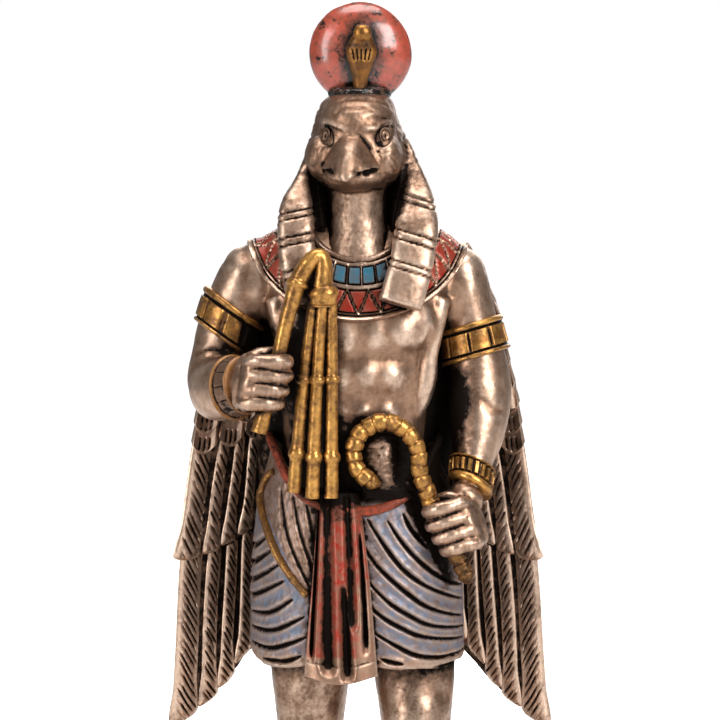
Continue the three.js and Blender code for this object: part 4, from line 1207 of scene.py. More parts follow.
class FIGURINE_OT_crown(FigurineOperator, bpy.types.Operator):
    """Model the red sun disc and the gold cobra reared in front of it"""

    bl_idname = "figurine.crown"
    bl_label = "Sun disc and cobra"

    def build(self, sizes, colours):
        radius = sizes.disc_radius / MM
        disc = egg(DISC_CENTRE, (radius, DISC_HALF_DEPTH, radius), segments=64, rings=44, name="sun_disc")
        roughen(disc, (0.03, 2.5, 5), (0.008, 0.7, 38))
        x, y, z = points_of(disc).T
        halo = np.hypot((x - 0.3) / 2.0, (z - 84.2) / 3.2)
        add_wash_and_shade(disc, (0.5 * fade(0.8, 1.25, halo) + 0.7 * fade(80.4, 81.2, z)) * (y < 0.6))
        enamel = enamel_finish("Red enamel disc", roughness=0.34, coat=1.0, grime=0.16, gloss=0.4)
        settle(disc, enamel, polish=0.55)
        seat = limb(DISC_SEAT, "disc_seat", sides=120, level=True)
        roughen(seat, (0.04, 1.0, 32), (0.04, 0.45, 37))
        add_wash_and_shade(seat, 1)
        settle(seat, bronze_finish("Dark glossy seat", roughness=0.16, coat=0.7))
        parts = [limb(COBRA, sides=32), egg((0.4, -2.5, 85.95), (0.82, 0.55, 0.8))]
        cobra = cast("cobra", parts, voxel=0.08, soften=3)
        strokes = [[(0.3 + 0.3 * k, 83.5), (0.3 + 0.4 * k, 84.6)] for k in (-2.2, -1.1, 0, 1.1, 2.2)]
        raise_skin(cobra, lambda p, n: np.where(n[:, 1] < 0, -0.2 * carved(p, strokes, 0.12), 0))
        z = points_of(cobra)[:, 2]
        add_wash_and_shade(cobra, 0.4 * bell(z, 84.9, 0.3) + 0.15 * (z < 83.4))
        settle(cobra, gold_finish("Gold cobra"))
        return True


class FIGURINE_OT_collar(FigurineOperator, bpy.types.Operator):
    """Lay the broad collar over chest and shoulders, with its inlaid bands"""

    bl_idname = "figurine.collar"
    bl_label = "Broad collar"

    around, down = 500, 46
    inner_rim = 0.42
    reach = np.array((9.9, 14.0, 9.4))
    centre = np.array((0, 0, 68.9))
    heart = np.array((0, 0.3, 63.5))
    outside = 25

    def drape(self, tree):
        """Points on the body's skin: rows round the neck, columns from the inner to the outer rim."""
        spread = np.radians(np.linspace(68, -30, 120))
        rows = []
        for turn in np.linspace(0, 2 * np.pi, self.around, endpoint=False):
            skin, share = [], []
            for rise in spread:
                level = math.cos(rise)
                way = Vector((math.cos(turn) * level, math.sin(turn) * level, math.sin(rise)))
                hit = tree.ray_cast(Vector(self.heart) + way * self.outside, -way)[0]
                if hit is None:
                    continue
                point = np.array(hit)
                skin.append(point)
                share.append(np.linalg.norm((point - self.centre) / self.reach))
            share = np.maximum.accumulate(np.array(share))
            wanted = np.linspace(self.inner_rim, 1.0, self.down)
            skin = np.array(skin)
            rows.append(np.column_stack([np.interp(wanted, share, skin[:, k]) for k in range(3)]))
        grid = np.array(rows)
        for _ in range(3):
            grid = 0.5 * grid + 0.25 * (np.roll(grid, 1, axis=0) + np.roll(grid, -1, axis=0))
        return grid

    def pattern(self, turn, share):
        """Height and paint of the bands: 0 is the inner rim and 1 the outer rim of the collar."""
        height = np.full(share.shape, 0.40)
        paint = np.zeros(share.shape)

        def inlay(first, last, distance, kind):
            inside = (share > first) & (share < last)
            edge = np.minimum(np.minimum(share - first, last - share) * 10, distance)
            tile = inside & (edge > 0.30)
            groove = inside & (edge > 0.13) & ~tile
            height[tile] = 0.36
            height[groove] = 0.12
            paint[tile] = kind

        turn = turn + 0.15 * np.sin(2 * turn)
        tiles = np.mod(turn * 38 / (2 * np.pi) + 0.25, 1)
        inlay(0.15, 0.46, np.minimum(tiles, 1 - tiles) * 2.6, 1)
        across = (share - 0.52) / 0.37
        wave = np.abs(np.mod(turn * 28 / (2 * np.pi), 1) - 0.5) * 2
        inlay(0.51, 0.885, np.abs(wave - across) * 2.0, 2)
        rim = np.sin(np.pi * np.clip((share - 0.905) / 0.095, 0, 1))
        height = np.where(share > 0.905, 0.12 + 0.42 * rim, height)
        inner = np.sin(np.pi * np.clip(share / 0.12, 0, 1))
        height = np.where(share < 0.12, 0.12 + 0.34 * inner, height)
        return height, paint

    def build(self, sizes, colours):
        skin = self.drape(skin_tree(bpy.data.objects["body"], MM))
        away = unit(skin - (self.heart + np.array((0, 0, -2.0))))
        round_neck = np.linspace(0, 2 * np.pi, self.around, endpoint=False)
        height, paint = self.pattern(*np.meshgrid(round_neck, np.linspace(0, 1, self.down), indexing="ij"))
        top = skin + away * height[..., None]
        under = (skin - away * 0.5)[:, ::6][:, ::-1]
        grid = np.concatenate([top, under], axis=1)
        marks = np.concatenate([paint, np.zeros((self.around, under.shape[1]))], axis=1)
        piece = grid_object("broad_collar", grid, ring_rows=True, marks=marks)
        kinds = np.round(take_values(piece, "mark")).astype(int)
        palette = np.array([tuple(colours.bronze), tuple(colours.blue), tuple(colours.red)])
        set_paint(piece, palette[kinds], 1.2 * (kinds > 0))
        finish = bronze_finish("Inlaid collar", painted=True, roughness=0.3, wear=0.3, grime=0.16)
        return settle(piece, finish, smooth_angle=60)


def ring_band(
    name, stations, first, last, profile, pattern, facing=(0, -1, 0), around=200, tilt=0.0, marks=None,
):
    """A band round a limb. The profile gives share along and proud height; the pattern adds height by angle.

    The tilt moves the +X edge of the band along the limb.
    """
    share, proud = np.array(profile).T
    body = smooth_path(stations, first + (last - first) * share)
    centre, half = body[:, :3], body[:, 3:5]
    ends = smooth_path(stations, [first, last])[:, :3]
    along = unit(ends[1] - ends[0])
    across = unit(np.cross(along, np.asarray(facing, float)))
    front = np.cross(across, along)
    angle = np.linspace(0, 2 * np.pi, around, endpoint=False)
    swell = proud[None] + pattern(angle[:, None], share[None]) * (proud[None] > 0)
    x = np.cos(angle)[:, None] * (half[None, :, 0] + swell)
    y = np.sin(angle)[:, None] * (half[None, :, 1] + swell)
    slide = tilt * np.cos(angle) * np.sign(across[0])
    grid = centre[None] + across * x[..., None] + front * y[..., None] + along * slide[:, None, None]
    kinds = None if marks is None else np.tile(marks(share), (around, 1))
    return grid_object(name, grid, ring_rows=True, marks=kinds)


def panels(count, width, height, first=0.2, last=0.8):
    """Raised panels round a band, between its rims."""

    def pattern(angle, share):
        tile = np.abs(np.mod(angle * count / (2 * np.pi), 1) - 0.5) * 2
        return height * fade(width, width + 0.12, tile) * ((share > first) & (share < last))

    return pattern


class FIGURINE_OT_bands(FigurineOperator, bpy.types.Operator):
    """Model the gold armbands, the bracelet and the cuff"""

    bl_idname = "figurine.bands"
    bl_label = "Armbands and bracelets"

    def build(self, sizes, colours):
        bands = [
            ("right_armband", RIGHT_UPPER_ARM, 0.64, 1.46, BAND_PROFILE, panels(9, 0.72, 0.2), 0.9),
            ("left_armband", LEFT_ARM, 0.9, 1.7, BAND_PROFILE, panels(9, 0.82, 0.18), -0.3),
            ("left_bracelet", LEFT_ARM, 4.9, 5.8, BRACELET_PROFILE, panels(20, 0.5, 0.22, 0.13, 0.58), 0.5),
        ]
        for name, stations, first, last, profile, pattern, tilt in bands:
            band = ring_band(name, stations, first, last, profile, pattern, tilt=tilt)
            if name == "right_armband":
                x, _, z = points_of(band).T
                # Painted shade over the lower inner part of the band, and a little darker all over.
                add_wash_and_shade(band, 0.12 + step(-10.9, -10.1, x) * (z + 0.74 * (x + 9.2) - 60.2 < -0.6))
            settle(band, gold_finish(f"Gold {spoken(name)}"), smooth_angle=50)
        cuff = ring_band(
            "right_cuff", RIGHT_FOREARM, 2.35, 3.35, BAND_PROFILE, panels(12, 0.86, 0.08), facing=(0, 0, 1),
            marks=lambda share: ((share < 0.16) | (share > 0.84)).astype(float),
        )
        gilt = take_values(cuff, "mark")
        set_paint(cuff, tuple(colours.gold), 1.2 * gilt)
        add_wash_and_shade(cuff, 0.5 * (1 - gilt))
        settle(cuff, bronze_finish("Gilt-edged cuff", painted=True, wear=0.3, grime=0.2), smooth_angle=50)
        return True


def ringed(rings, width, proud):
    """Swelling of a limb at rings, given in stations along it."""
    return lambda t: sum(proud * np.exp(-(((t - at) / width) ** 4)) for at in rings)


class FIGURINE_OT_flail(FigurineOperator, bpy.types.Operator):
    """Model the flail: bent handle, cap, and three ringed strands"""

    bl_idname = "figurine.flail"
    bl_label = "Flail"

    def build(self, sizes, colours):
        parts = [
            limb(FLAIL_HANDLE, sides=24, steps=16, swell=ringed((3.0, 8.3), 0.12, 0.2)),
            limb(FLAIL_CAP, sides=32, level=True, square=2.3),
        ]
        for path in STRANDS:
            stations = [(*p, r, r) for p, r in zip(path, STRAND_RADII)]
            parts.append(limb(stations, sides=20, steps=80, swell=ringed((1.0, 1.6), 0.034, 0.2)))
        piece = joined("flail", parts)
        roughen(piece, (0.025, 0.9, 15))
        settle(piece, gold_finish("Gold flail"))
        # A dark sheet behind the strands, standing for the shade in the gaps between them.
        web = limb(FLAIL_SHADE_SHEET, "flail_filler", sides=48, steps=24, level=True, square=4)
        add_wash_and_shade(web, 1)
        settle(web, bronze_finish("Dark filler", roughness=0.4))
        return True


def hook_path():
    hook = CROOK_HOOK
    x, y, z = hook["centre"]
    turns = np.radians(np.linspace(hook["first"], hook["last"], 12))
    curve = [(x + hook["radius"] * math.cos(a), y, z + hook["radius"] * math.sin(a)) for a in turns]
    return CROOK_STAFF + curve[1:]


class FIGURINE_OT_crook(FigurineOperator, bpy.types.Operator):
    """Model the crook, wound with rings from its hook to its foot"""

    bl_idname = "figurine.crook"
    bl_label = "Crook"

    def build(self, sizes, colours):
        path = hook_path()
        last = len(path) - 1
        dense = smooth_path(path, np.linspace(0, last, 400))
        length = np.concatenate([[0], np.cumsum(np.linalg.norm(np.diff(dense, axis=0), axis=1))])
        rings = sizes.crook_rings
        even = np.linspace(0, length[-1], rings * 8 + 1)
        centre = np.column_stack([np.interp(even, length, dense[:, k]) for k in range(3)])
        rng = np.random.default_rng(7)
        ring_of = np.minimum((even / length[-1] * rings).astype(int), rings)
        girth = 1 + rng.uniform(-0.05, 0.05, rings + 1)[ring_of]
        centre = centre + rng.uniform(-0.03, 0.03, (rings + 1, 3))[ring_of]
        phase = np.mod(even / length[-1] * rings, 1)
        groove = bell(np.minimum(phase, 1 - phase), 0, 0.14)
        radius = (0.74 + 0.09 * phase - 0.09 * groove) * girth
        ends = np.minimum(even, length[-1] - even)
        radius *= np.clip(ends / 0.7, 0.2, 1) ** 0.5
        stations = np.column_stack([centre, radius, radius])
        piece = limb(stations, "crook", sides=24, steps=2)
        roughen(piece, (0.03, 0.8, 16))
        add_wash_and_shade(piece, 0.45 * fade(39.0, 41.0, points_of(piece)[:, 2]))
        settle(piece, gold_finish("Gold crook"))
        pad = limb(HOOK_WEB, "crook_filler", sides=80, steps=20, level=True, square=2.5)
        raise_skin(pad, lambda p, n: swellings(p, HOOK_SLOTS) + uneven(p, (0.1, 1.3, 17), (0.07, 0.5, 18)))
        # Painted shade in the deep slot and under the hook.
        add_wash_and_shade(pad, swellings(points_of(pad), HOOK_SHADE))
        settle(pad, bronze_finish("Filler behind the hook with painted shade", grime=0.42, roughness=0.4))
        return True


def on_kilt(angle, z, proud=0.0):
    """Points on the kilt's skin at angles round the body and levels."""
    levels = np.array([s[2] for s in KILT])
    t = np.interp(-z, -levels, np.arange(len(KILT)))
    body = smooth_path(KILT, t.ravel()).reshape(*t.shape, 5)
    x = body[..., 0] + rounded(np.cos(angle), 2 / 2.4) * (body[..., 3] + proud)
    y = body[..., 1] + rounded(np.sin(angle), 2 / 2.4) * (body[..., 4] + proud)
    return np.stack([x, y, z], axis=-1)


def belt_level(angle):
    front = np.maximum(0, -np.sin(angle)) ** 2
    return BELT_SIDE + (BELT_FRONT - BELT_SIDE) * front


class FIGURINE_OT_kilt(FigurineOperator, bpy.types.Operator):
    """Model the pleated kilt, its belt and the gold edge of its flap"""

    bl_idname = "figurine.kilt"
    bl_label = "Kilt"

    def cloth(self, depth, colours):
        around, down = 400, 150
        even = np.linspace(0, 2 * np.pi, around, endpoint=False)[None] * np.ones((down, 1))
        angle = even - 0.42 * np.cos(even)
        top = belt_level(angle) + 0.3
        hem = 29.6 - 0.7 * np.maximum(0, np.cos(angle - 0.6)) + 0.9 * bell(angle, 4.55, 0.28)
        hem = hem + 1.3 * np.abs(np.cos(angle)) ** 8
        level = between((top, hem), np.linspace(0, 1, down)[:, None])
        outer = on_kilt(angle, level)
        inner = on_kilt(angle[:1], level[-1:] + 0.3, -1.2)
        piece = grid_object("kilt", np.concatenate([outer, inner], axis=0))

        def height(p, n):
            x, y, z = p.T
            front = np.clip(carved(p, PLEATS, 0.27, taper=0.35) * 1.3, 0, 1)
            front = np.maximum(front, 0.6 * carved(p, FLAP_LINES, 0.28, taper=0.3))
            swag = z - 1.2 * np.cos((np.arctan2(y, x) - np.pi / 2) * 1.6)
            back = np.clip(1 - np.abs(np.mod(swag, 1.75) - 0.8) / 0.3, 0, 1) * step(0.0, 1.2, y)
            cut = np.maximum(np.where(y < 0.6, front, 0), back) * step(29.2, 30.2, z)
            ridge = 0.1 * np.clip(carved(p, PLEATS, 1.0, taper=0.1) * 1.4, 0, 1) * (y < 0.6)
            return ridge - depth * cut + uneven(p, (0.035, 1.4, 6), (0.02, 0.5, 19))

        raise_skin(piece, height)
        p = points_of(piece)
        x, y, z = p.T
        flap = (x < -3.6) & (z > 35.9 - 2.1 * (x + 4.7))
        cover = np.where(flap, 0.3, 0.82) * step(30.1, 31.2, z + 0.25 * ripple(p, 1.2, 41))
        set_paint(piece, tuple(colours.linen), cover)
        pleats = 1.25 * carved(p, PLEATS, 0.24, taper=0.35)
        flap_lines = 0.9375 * carved(p, FLAP_LINES, 0.24, taper=0.3)
        # Painted shade beside the sash, and painted shadow behind the left hand and the crook.
        painted_shade_beside_sash = 0.6 * bell(x, 0.9, 0.9) + 0.8 * bell(x, -3.9, 0.7)
        painted_shadow_behind_hand = step(0, 0.6, 0.885 * (x - 4.1) + 0.47 * (z - 43.4)) * (z > 36.8)
        painted_shadow_behind_hand *= fade(-4.5, -2.5, y - 3.5 * step(41.5, 43.5, z))
        wash_and_shade = np.max([pleats, flap_lines, painted_shade_beside_sash, painted_shadow_behind_hand, 0.35 * flap], axis=0)
        add_wash_and_shade(piece, wash_and_shade * (y < 0))
        linen = {"metallic": 0.6, "roughness": 0.38, "wear": 0.5, "grime": 0.1, "light": (0.46, 0.35, 0.28)}
        settle(piece, bronze_finish("Washed linen", painted=True, **linen))

    def build(self, sizes, colours):
        self.cloth(sizes.carving_depth / MM, colours)
        ring = np.linspace(0, 2 * np.pi, 220, endpoint=False)[:, None]
        section = np.linspace(0, 2 * np.pi, 16, endpoint=False)
        rise = 0.42 * rounded(np.sin(section), 0.7)
        out = 0.1 + 0.32 * rounded(np.cos(section), 0.7)
        belt_grid = on_kilt(ring * np.ones((1, 16)), belt_level(ring) + rise, out)
        belt = grid_object("belt", belt_grid, ring_rows=True)
        # Painted shadow on the belt's left side by the hand and crook, and darker all over.
        add_wash_and_shade(belt, 0.4 + step(4.2, 5.4, points_of(belt)[:, 0]))
        settle(belt, enamel_finish("Red enamel belt", speckle=0.4, coat=0.0, roughness=0.42, gloss=0.2))

        angles, levels = np.array(KILT_TRIM).T
        path = [(*p, 0.4, 0.3) for p in on_kilt(np.radians(angles), levels, 0.16)]
        trim = limb(path, "kilt_trim", sides=16, steps=12, facing=(0, 0, 1), square=2.6)
        add_wash_and_shade(trim, 0.3)
        settle(trim, gold_finish("Gold flap edge"))
        return True


class FIGURINE_OT_sash(FigurineOperator, bpy.types.Operator):
    """Model the red sash with its deep folds and plain hem"""

    bl_idname = "figurine.sash"
    bl_label = "Sash"

    def troughs(self, u, share, power, narrow, begin, stop):
        """0 to 1 in the troughs, at places across and shares of the way down."""
        depth = 0
        for top, bottom, width, start, end in SASH_TROUGHS:
            inside = np.exp(-(np.abs((u - between((top, bottom), share)) / (width * narrow)) ** power))
            inside = inside * step(start - 0.03, start + begin, share) * fade(end - stop, end, share)
            depth = np.maximum(depth, inside)
        return depth

    def build(self, sizes, colours):
        rows, across = 112, 112
        middle, back, level, half = smooth_path(SASH, np.linspace(0, len(SASH) - 1, rows)).T[..., None]
        u = np.linspace(-1, 1, across)[None]
        fall = np.linspace(0, 1, rows)[:, None]
        depth = self.troughs(u, fall, power=2.4, narrow=1, begin=0.08, stop=0.1) * (0.45 + 0.65 * fall)
        x = middle + u * half
        y = back + 0.9 * np.abs(u) ** 3 - 0.35 - 0.3 * fall + depth - 0.16 * (fall > 0.885)
        z = level - 0.35 * np.cos(u * 2.6) * fall
        front = np.stack([x, y, z], axis=-1)
        behind = np.stack([x, back + 1.9 + 0 * u, z], axis=-1)[:, ::-6]
        piece = grid_object("sash", np.concatenate([front, behind], axis=1))
        p = points_of(piece)
        x, y, z = p.T
        share = (SASH[0][2] - z) / SASH_LENGTH
        bare = 0.75 * step(-0.4, 0.2, x) * step(0.42, 0.6, share)
        set_paint(piece, tuple(colours.red), 0.88 * fade(0.87, 0.89, share) * (1 - bare))
        share = np.clip(share, 0, 1)
        u = (x - between((-1.7, -1.5), share)) / read_off(SASH_WIDTHS, share)
        # Darker in the troughs between the folds.
        wash_and_shade = self.troughs(u, share, power=2, narrow=0.78, begin=0.05, stop=0.06)
        wash_and_shade *= 1 + 0.3 * ripple(p, 1.5, 33)
        # Painted shadow at the top of the sash under the belt, and a little darker all over.
        wash_and_shade += 0.55 * fade(0.0, 0.25, share) + 0.7 * fade(0.02, 0.1, share) + 0.16
        add_wash_and_shade(piece, wash_and_shade * (y < between((-5.2, -7.1), share)))
        finish = bronze_finish("Red sash", painted=True, metallic=0.6, roughness=0.34, wear=0.7, grime=0.08)
        return settle(piece, finish, rub_share=0.35)


def wing_depth(x, z):
    """Middle of a wing's thickness at a distance from the spine and a level."""
    return read_off(WING_BACK, z) - WING_BOW * (x / WING_REACH) ** 2


def feather_grid(row, index, side, pitch, depth):
    """One long feather: rows lie along its steep barbs, columns run over its front and back."""
    inner, outer = FEATHER_EDGES[index], FEATHER_EDGES[index + 1]
    s = (inner + outer) / 2
    root_z = between(row["root"], s)
    tip_z = read_off(row["tips"], s)
    half = (row["reach"][1] * (outer - inner) - row["gap"]) / 2
    pitch = pitch * row["pitch"]
    lean = row["slope"] * half
    barbs = int((root_z - tip_z + 2 * lean) / pitch)
    rng = np.random.default_rng(index + 20)
    jog = rng.uniform(-0.17, 0.17, barbs + 1)
    strength = np.repeat(rng.uniform(0.6, 1.2, barbs + 1), 4)
    turns = np.ravel([[k, k + 0.24 + j, k + 0.5 + j, k + 0.76 + j] for k, j in enumerate(jog)])
    notch = np.tile([0.0, 0.0, 1.0, 0.0], barbs + 1)
    shift = np.repeat(rng.uniform(-0.2, 0.2, barbs + 1), 4)
    u, front = both_faces(FEATHER_FACE)
    tip_line = read_off(row["tips"], s - u * half / row["reach"][1])
    tip_line = tip_line + 0.45 * half * (1 - np.sqrt(np.clip(1 - (np.abs(u) * 0.98) ** 3, 0, 1)))
    z = (root_z + lean - pitch * turns)[:, None] - lean * u
    inside = (z < root_z - 0.3) & (z > tip_line + 0.32)
    z = np.clip(z, tip_line, root_z)
    fall = (root_z - z) / (root_z - tip_z)
    width = half * (0.9 + 0.1 * fall) + 0.5 * row["gap"] * fade(0.4, 3.2, z - tip_line)
    x = s * between(row["reach"], fall ** row["bow"]) - u * width
    x = x + 0.05 * np.sin(fall * 9 + index * 2.1) + side * row["drift"] * fall
    leaf = np.clip(1 - (np.abs(u - 0.2 - shift[:, None]) / 0.6) ** 3, 0, 1)
    cut = (notch * strength)[:, None] * leaf * inside
    crown = row["thick"] * (1 - 0.42 * np.abs(u) ** 4)
    edge = np.clip((z - tip_line) / 0.35, 0, 1) ** 0.5
    y = wing_depth(x, z) - front * (crown * (0.55 + 0.45 * edge) - depth * cut)
    return np.stack([side * x, y, z], axis=-1)


def covert_grid(level, index, side):
    """One short scale-like feather with a few upright strokes near its tip."""
    place = COVERTS_ACROSS - 1 - index
    s = 1 - (place + 0.52 + 0.5 * (level % 2) * (place > 0)) / COVERTS_TO_SPINE
    t = COVERT_SHARES[:, None]
    u, front = both_faces(COVERT_FACE)
    z = between(COVERT_ROWS[level], s) + COVERT_LENGTH * (1 - t) + 1.25 * np.abs(u) ** 1.9 * t
    x = read_off(WING_EDGE, z) * (s + u * 0.082 * (1 - 0.1 * (1 - t)))
    thick = 1.15 + 0.09 * level + 0.28 * t - 0.5 * np.abs(u) ** 8 - 0.4 * step(0.95, 1.0, t)
    thick = thick + 0.14 * bell(np.abs(u), 0.8, 0.12)
    strokes = np.max([np.clip(1 - np.abs(u - at) / 0.12, 0, 1) for at in (-0.36, 0, 0.36)], axis=0)
    strokes = strokes * step(0.42, 0.55, t) * fade(0.8, 0.9, t)
    y = wing_depth(x, z) - front * (thick - 0.34 * strokes)
    return np.stack([side * x, y, z], axis=-1)


class FIGURINE_OT_wings(FigurineOperator, bpy.types.Operator):
    """Model the folded wings feather by feather"""

    bl_idname = "figurine.wings"
    bl_label = "Wings"

    def feathers(self, side, name, pitch, depth):
        parts = []
        for row in FEATHER_ROWS:
            for index in range(len(FEATHER_EDGES) - 1):
                parts.append(grid_object("feather", feather_grid(row, index, side, pitch, depth)))
        # The left feathers, which face the key light, get painted sheen and less of the painted occlusion
        # shade.
        ageing = {"polish": 1.2, "wash": 0.2, "cut_wash": 0.75} if side > 0 else {"polish": 0.05}
        piece = joined(f"{name}_feathers", parts)
        settle(piece, bronze_finish(f"Cast bronze {name} feathers"), LEAF_ANGLE, **ageing)

    def coverts(self, side, name):
        parts = []
        for level in range(len(COVERT_ROWS)):
            for index in range(COVERTS_ACROSS):
                parts.append(grid_object("covert", covert_grid(level, index, side)))
        if side > 0:
            parts.append(self.plain_edge())
        piece = joined(f"{name}_coverts", parts)
        finish = bronze_finish(f"Cast bronze {name} coverts")
        # Lighter all over from polish and painted sheen, with less of the painted occlusion shade.
        settle(piece, finish, LEAF_ANGLE, polish=0.6, wash=0.7, cut_wash=0.8)

    def plain_edge(self):
        """The smooth front edge that shows beside the left shoulder."""
        stations = []
        for z in np.linspace(*PLAIN_EDGE, 9):
            share = (PLAIN_EDGE[0] - z) / (PLAIN_EDGE[0] - PLAIN_EDGE[1])
            x = read_off(WING_EDGE, z) - 0.8 + 0.1 * share
            wide = 0.3 + 0.55 * step(0, 0.25, share) - 0.2 * share
            stations.append((x, wing_depth(x, z) - 1.15 + 0.15 * share, z, wide, 1.1 - 0.3 * share))
        edge = limb(stations, sides=20, steps=7)
        roughen(edge, (0.05, 1.1, 42))
        return edge

    def web(self):
        """The metal behind the feathers, painted dark as the shade in the gaps between them, and its root on
        the back.
        """
        u = np.linspace(-1, 1, 52)
        lowest, middle_tips = (read_off(row["tips"], np.abs(u)) for row in FEATHER_ROWS)
        level = np.linspace(67.2, 25.5, 80)[:, None]
        x = read_off(WEB_EDGE, level) * u
        level = np.maximum(level, lowest + 1.1)
        edge = np.sqrt(np.clip(1 - np.abs(u) ** 30, 0, 1))
        thick = (0.28 + 0.46 * step(0.3, 0.8, level - middle_tips)) * edge
        middle = wing_depth(x, level)
        front = np.stack([x, middle - thick, level], axis=-1)
        back = np.stack([x, middle + thick, level], axis=-1)[:, ::-1]
        rim = fade(0.8, 2.0, level - lowest - 1.1) * fade(0.62, 0.72, np.abs(u))
        rim = np.concatenate([rim, rim[:, -2:0:-1]], axis=1)
        web = grid_object("wing_web", np.concatenate([front, back[:, 1:-1]], axis=1), marks=rim)
        # Painted shade over the web below the shoulders, except along its lower rim.
        add_wash_and_shade(web, fade(61, 65, points_of(web)[:, 2]) * (1 - take_values(web, "mark")))
        settle(web, bronze_finish("Painted shade behind the feathers", roughness=0.4))
        root = limb(WING_ROOT, "wing_root", sides=48, steps=8, level=True, square=3)
        # Painted shade over the wing root below the shoulders.
        add_wash_and_shade(root, fade(61, 65, points_of(root)[:, 2]))
        settle(root, bronze_finish("Wing root with painted shade", roughness=0.4))

    def build(self, sizes, colours):
        for side, name in ((-1, "right"), (1, "left")):
            self.feathers(side, name, sizes.barb_pitch / MM, sizes.barb_depth / MM)
            self.coverts(side, name)
        self.web()
        return True


class FIGURINE_OT_base(FigurineOperator, bpy.types.Operator):
    """Model the low base with softened edges"""

    bl_idname = "figurine.base"
    bl_label = "Base"

    def build(self, sizes, colours):
        bpy.ops.object.select_all(action="DESELECT")
        bpy.ops.mesh.primitive_cube_add(size=1, location=(0, 0, BASE_SIZE[2] / 2))
        piece = bpy.context.active_object
        piece.name = piece.data.name = "plinth"
        piece.scale = BASE_SIZE
        bpy.ops.object.transform_apply(location=True, rotation=True, scale=True)
        apply_modifier(piece, "BEVEL", width=0.7, segments=4)
        bpy.ops.object.mode_set(mode="EDIT")
        bpy.ops.mesh.select_all(action="SELECT")
        bpy.ops.mesh.subdivide(number_cuts=2)
        bpy.ops.object.mode_set(mode="OBJECT")
        settle(piece, bronze_finish("Cast bronze base"), smooth_angle=40)
        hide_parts("base")
        return piece


# Ageing and painted shade


def neighbour_mean(values, a, b, count):
    """Mean of the values at the far ends of each point's edges, which run from a to b."""
    n = len(values)
    sums = [np.bincount(a, column[b], n) + np.bincount(b, column[a], n) for column in values.T]
    return np.column_stack(sums) / count[:, None]


class FIGURINE_OT_ageing(FigurineOperator, bpy.types.Operator):
    """Work out where the dark wash settles, where shade from nearby forms is painted in, and where edges are
    rubbed bright or given painted sheen
    """

    bl_idname = "figurine.ageing"
    bl_label = "Wash and rubbing"

    cell = 0.3 * MM
    ways = 64

    def directions(self):
        """Evenly spread directions over the whole sphere."""
        turn = math.pi * (3 - math.sqrt(5))
        z = 1 - (np.arange(self.ways) + 0.5) / self.ways * 2
        r = np.sqrt(1 - z * z)
        angle = np.arange(self.ways) * turn
        return np.column_stack([r * np.cos(angle), r * np.sin(angle), z])

    def blocked(self, points, normals):
        """Shares of the light from all round that close and that wider forms keep off each point."""
        dark, deep, whole = np.zeros(len(points)), np.zeros(len(points)), np.full(len(points), 1e-6)
        for way in self.directions():
            facing = normals @ way
            side = unit(np.cross(way, (0.3, 0.5, 0.81)))
            other = np.cross(way, side)
            column, row = (points @ side / self.cell).astype(int), (points @ other / self.cell).astype(int)
            column, row = column - column.min(), row - row.min()
            spot = row * (column.max() + 1) + column
            height = points @ way
            top = np.full(spot.max() + 1, -1.0)
            np.maximum.at(top, spot, height)
            gap = top[spot] - height
            slack = self.cell * (0.9 + 1.3 * np.sqrt(1 - np.minimum(facing**2, 1)) / np.maximum(facing, 0.2))
            shade = np.clip((gap - slack) / (0.35 * MM), 0, 1)
            seen = facing > 0.1
            dark[seen] += (facing * shade * (1 - np.clip(gap / (3 * MM) - 1.2, 0, 1)))[seen]
            deep[seen] += (facing * shade * (1 - np.clip(gap / (14 * MM) - 1, 0, 1)))[seen]
            whole[seen] += facing[seen]
        return np.column_stack([dark, deep]) / whole[:, None]

    def build(self, sizes, colours):
        pieces = [o for o in bpy.data.objects if o.get("cast_piece")]
        clouds = [points_of(piece) for piece in pieces]
        directions = [normals_of(piece) for piece in pieces]
        shade_all = self.blocked(np.concatenate(clouds), np.concatenate(directions))
        start = 0
        for piece, points, normals in zip(pieces, clouds, directions):
            blocked = shade_all[start:start + len(points)]
            wash_and_shade = take_values(piece, "wash_and_shade")
            start += len(points)
            flat = np.empty(len(piece.data.edges) * 2, np.int32)
            piece.data.edges.foreach_get("vertices", flat)
            a, b = flat.reshape(-1, 2).T
            count = np.bincount(a, minlength=len(points)) + np.bincount(b, minlength=len(points))
            count = np.maximum(count, 1)
            smooth = points
            bends = []
            for rounds in (2, 8):
                for _ in range(rounds):
                    smooth = neighbour_mean(smooth, a, b, count)
                bends.append(np.sum((smooth - points) * normals, axis=1) / MM)
            shade = np.column_stack([blocked, bends[0], bends[1]])
            shade = 0.4 * shade + 0.6 * neighbour_mean(shade, a, b, count)
            blocked, deep, fine, broad = shade.T
            cuts = 0.9 * step(0.006, 0.035, fine) + 0.8 * step(0.015, 0.09, broad)
            # Painted shade from close forms and from wider ones, scaled by the piece's wash share, joins the
            # wash and shade brushed on and the wash in cuts.
            shadow = step(0.2, 0.68, blocked) + 0.6 * step(0.55, 0.95, deep)
            hollow = wash_and_shade + shadow * piece.get("wash", 1) + cuts * piece.get("cut_wash", 1)
            # Rubbing on raised edges plus painted sheen from polish, both kept to parts open to light, plus
            # a painted highlight where wash and shade were taken off.
            rub = step(0.0, 0.03, -fine) * 0.8 + step(0.0, 0.09, -broad) * 0.7
            rub = (rub + piece.get("polish", 0)) * fade(0.3, 0.65, blocked) * piece.get("rub_share", 1)
            rub = rub + 0.9 * np.maximum(-wash_and_shade, 0)
            store(piece, "hollow", np.clip(hollow, 0, 1.35))
            store(piece, "rub", np.clip(rub, 0, 1))
        return True


# Stage


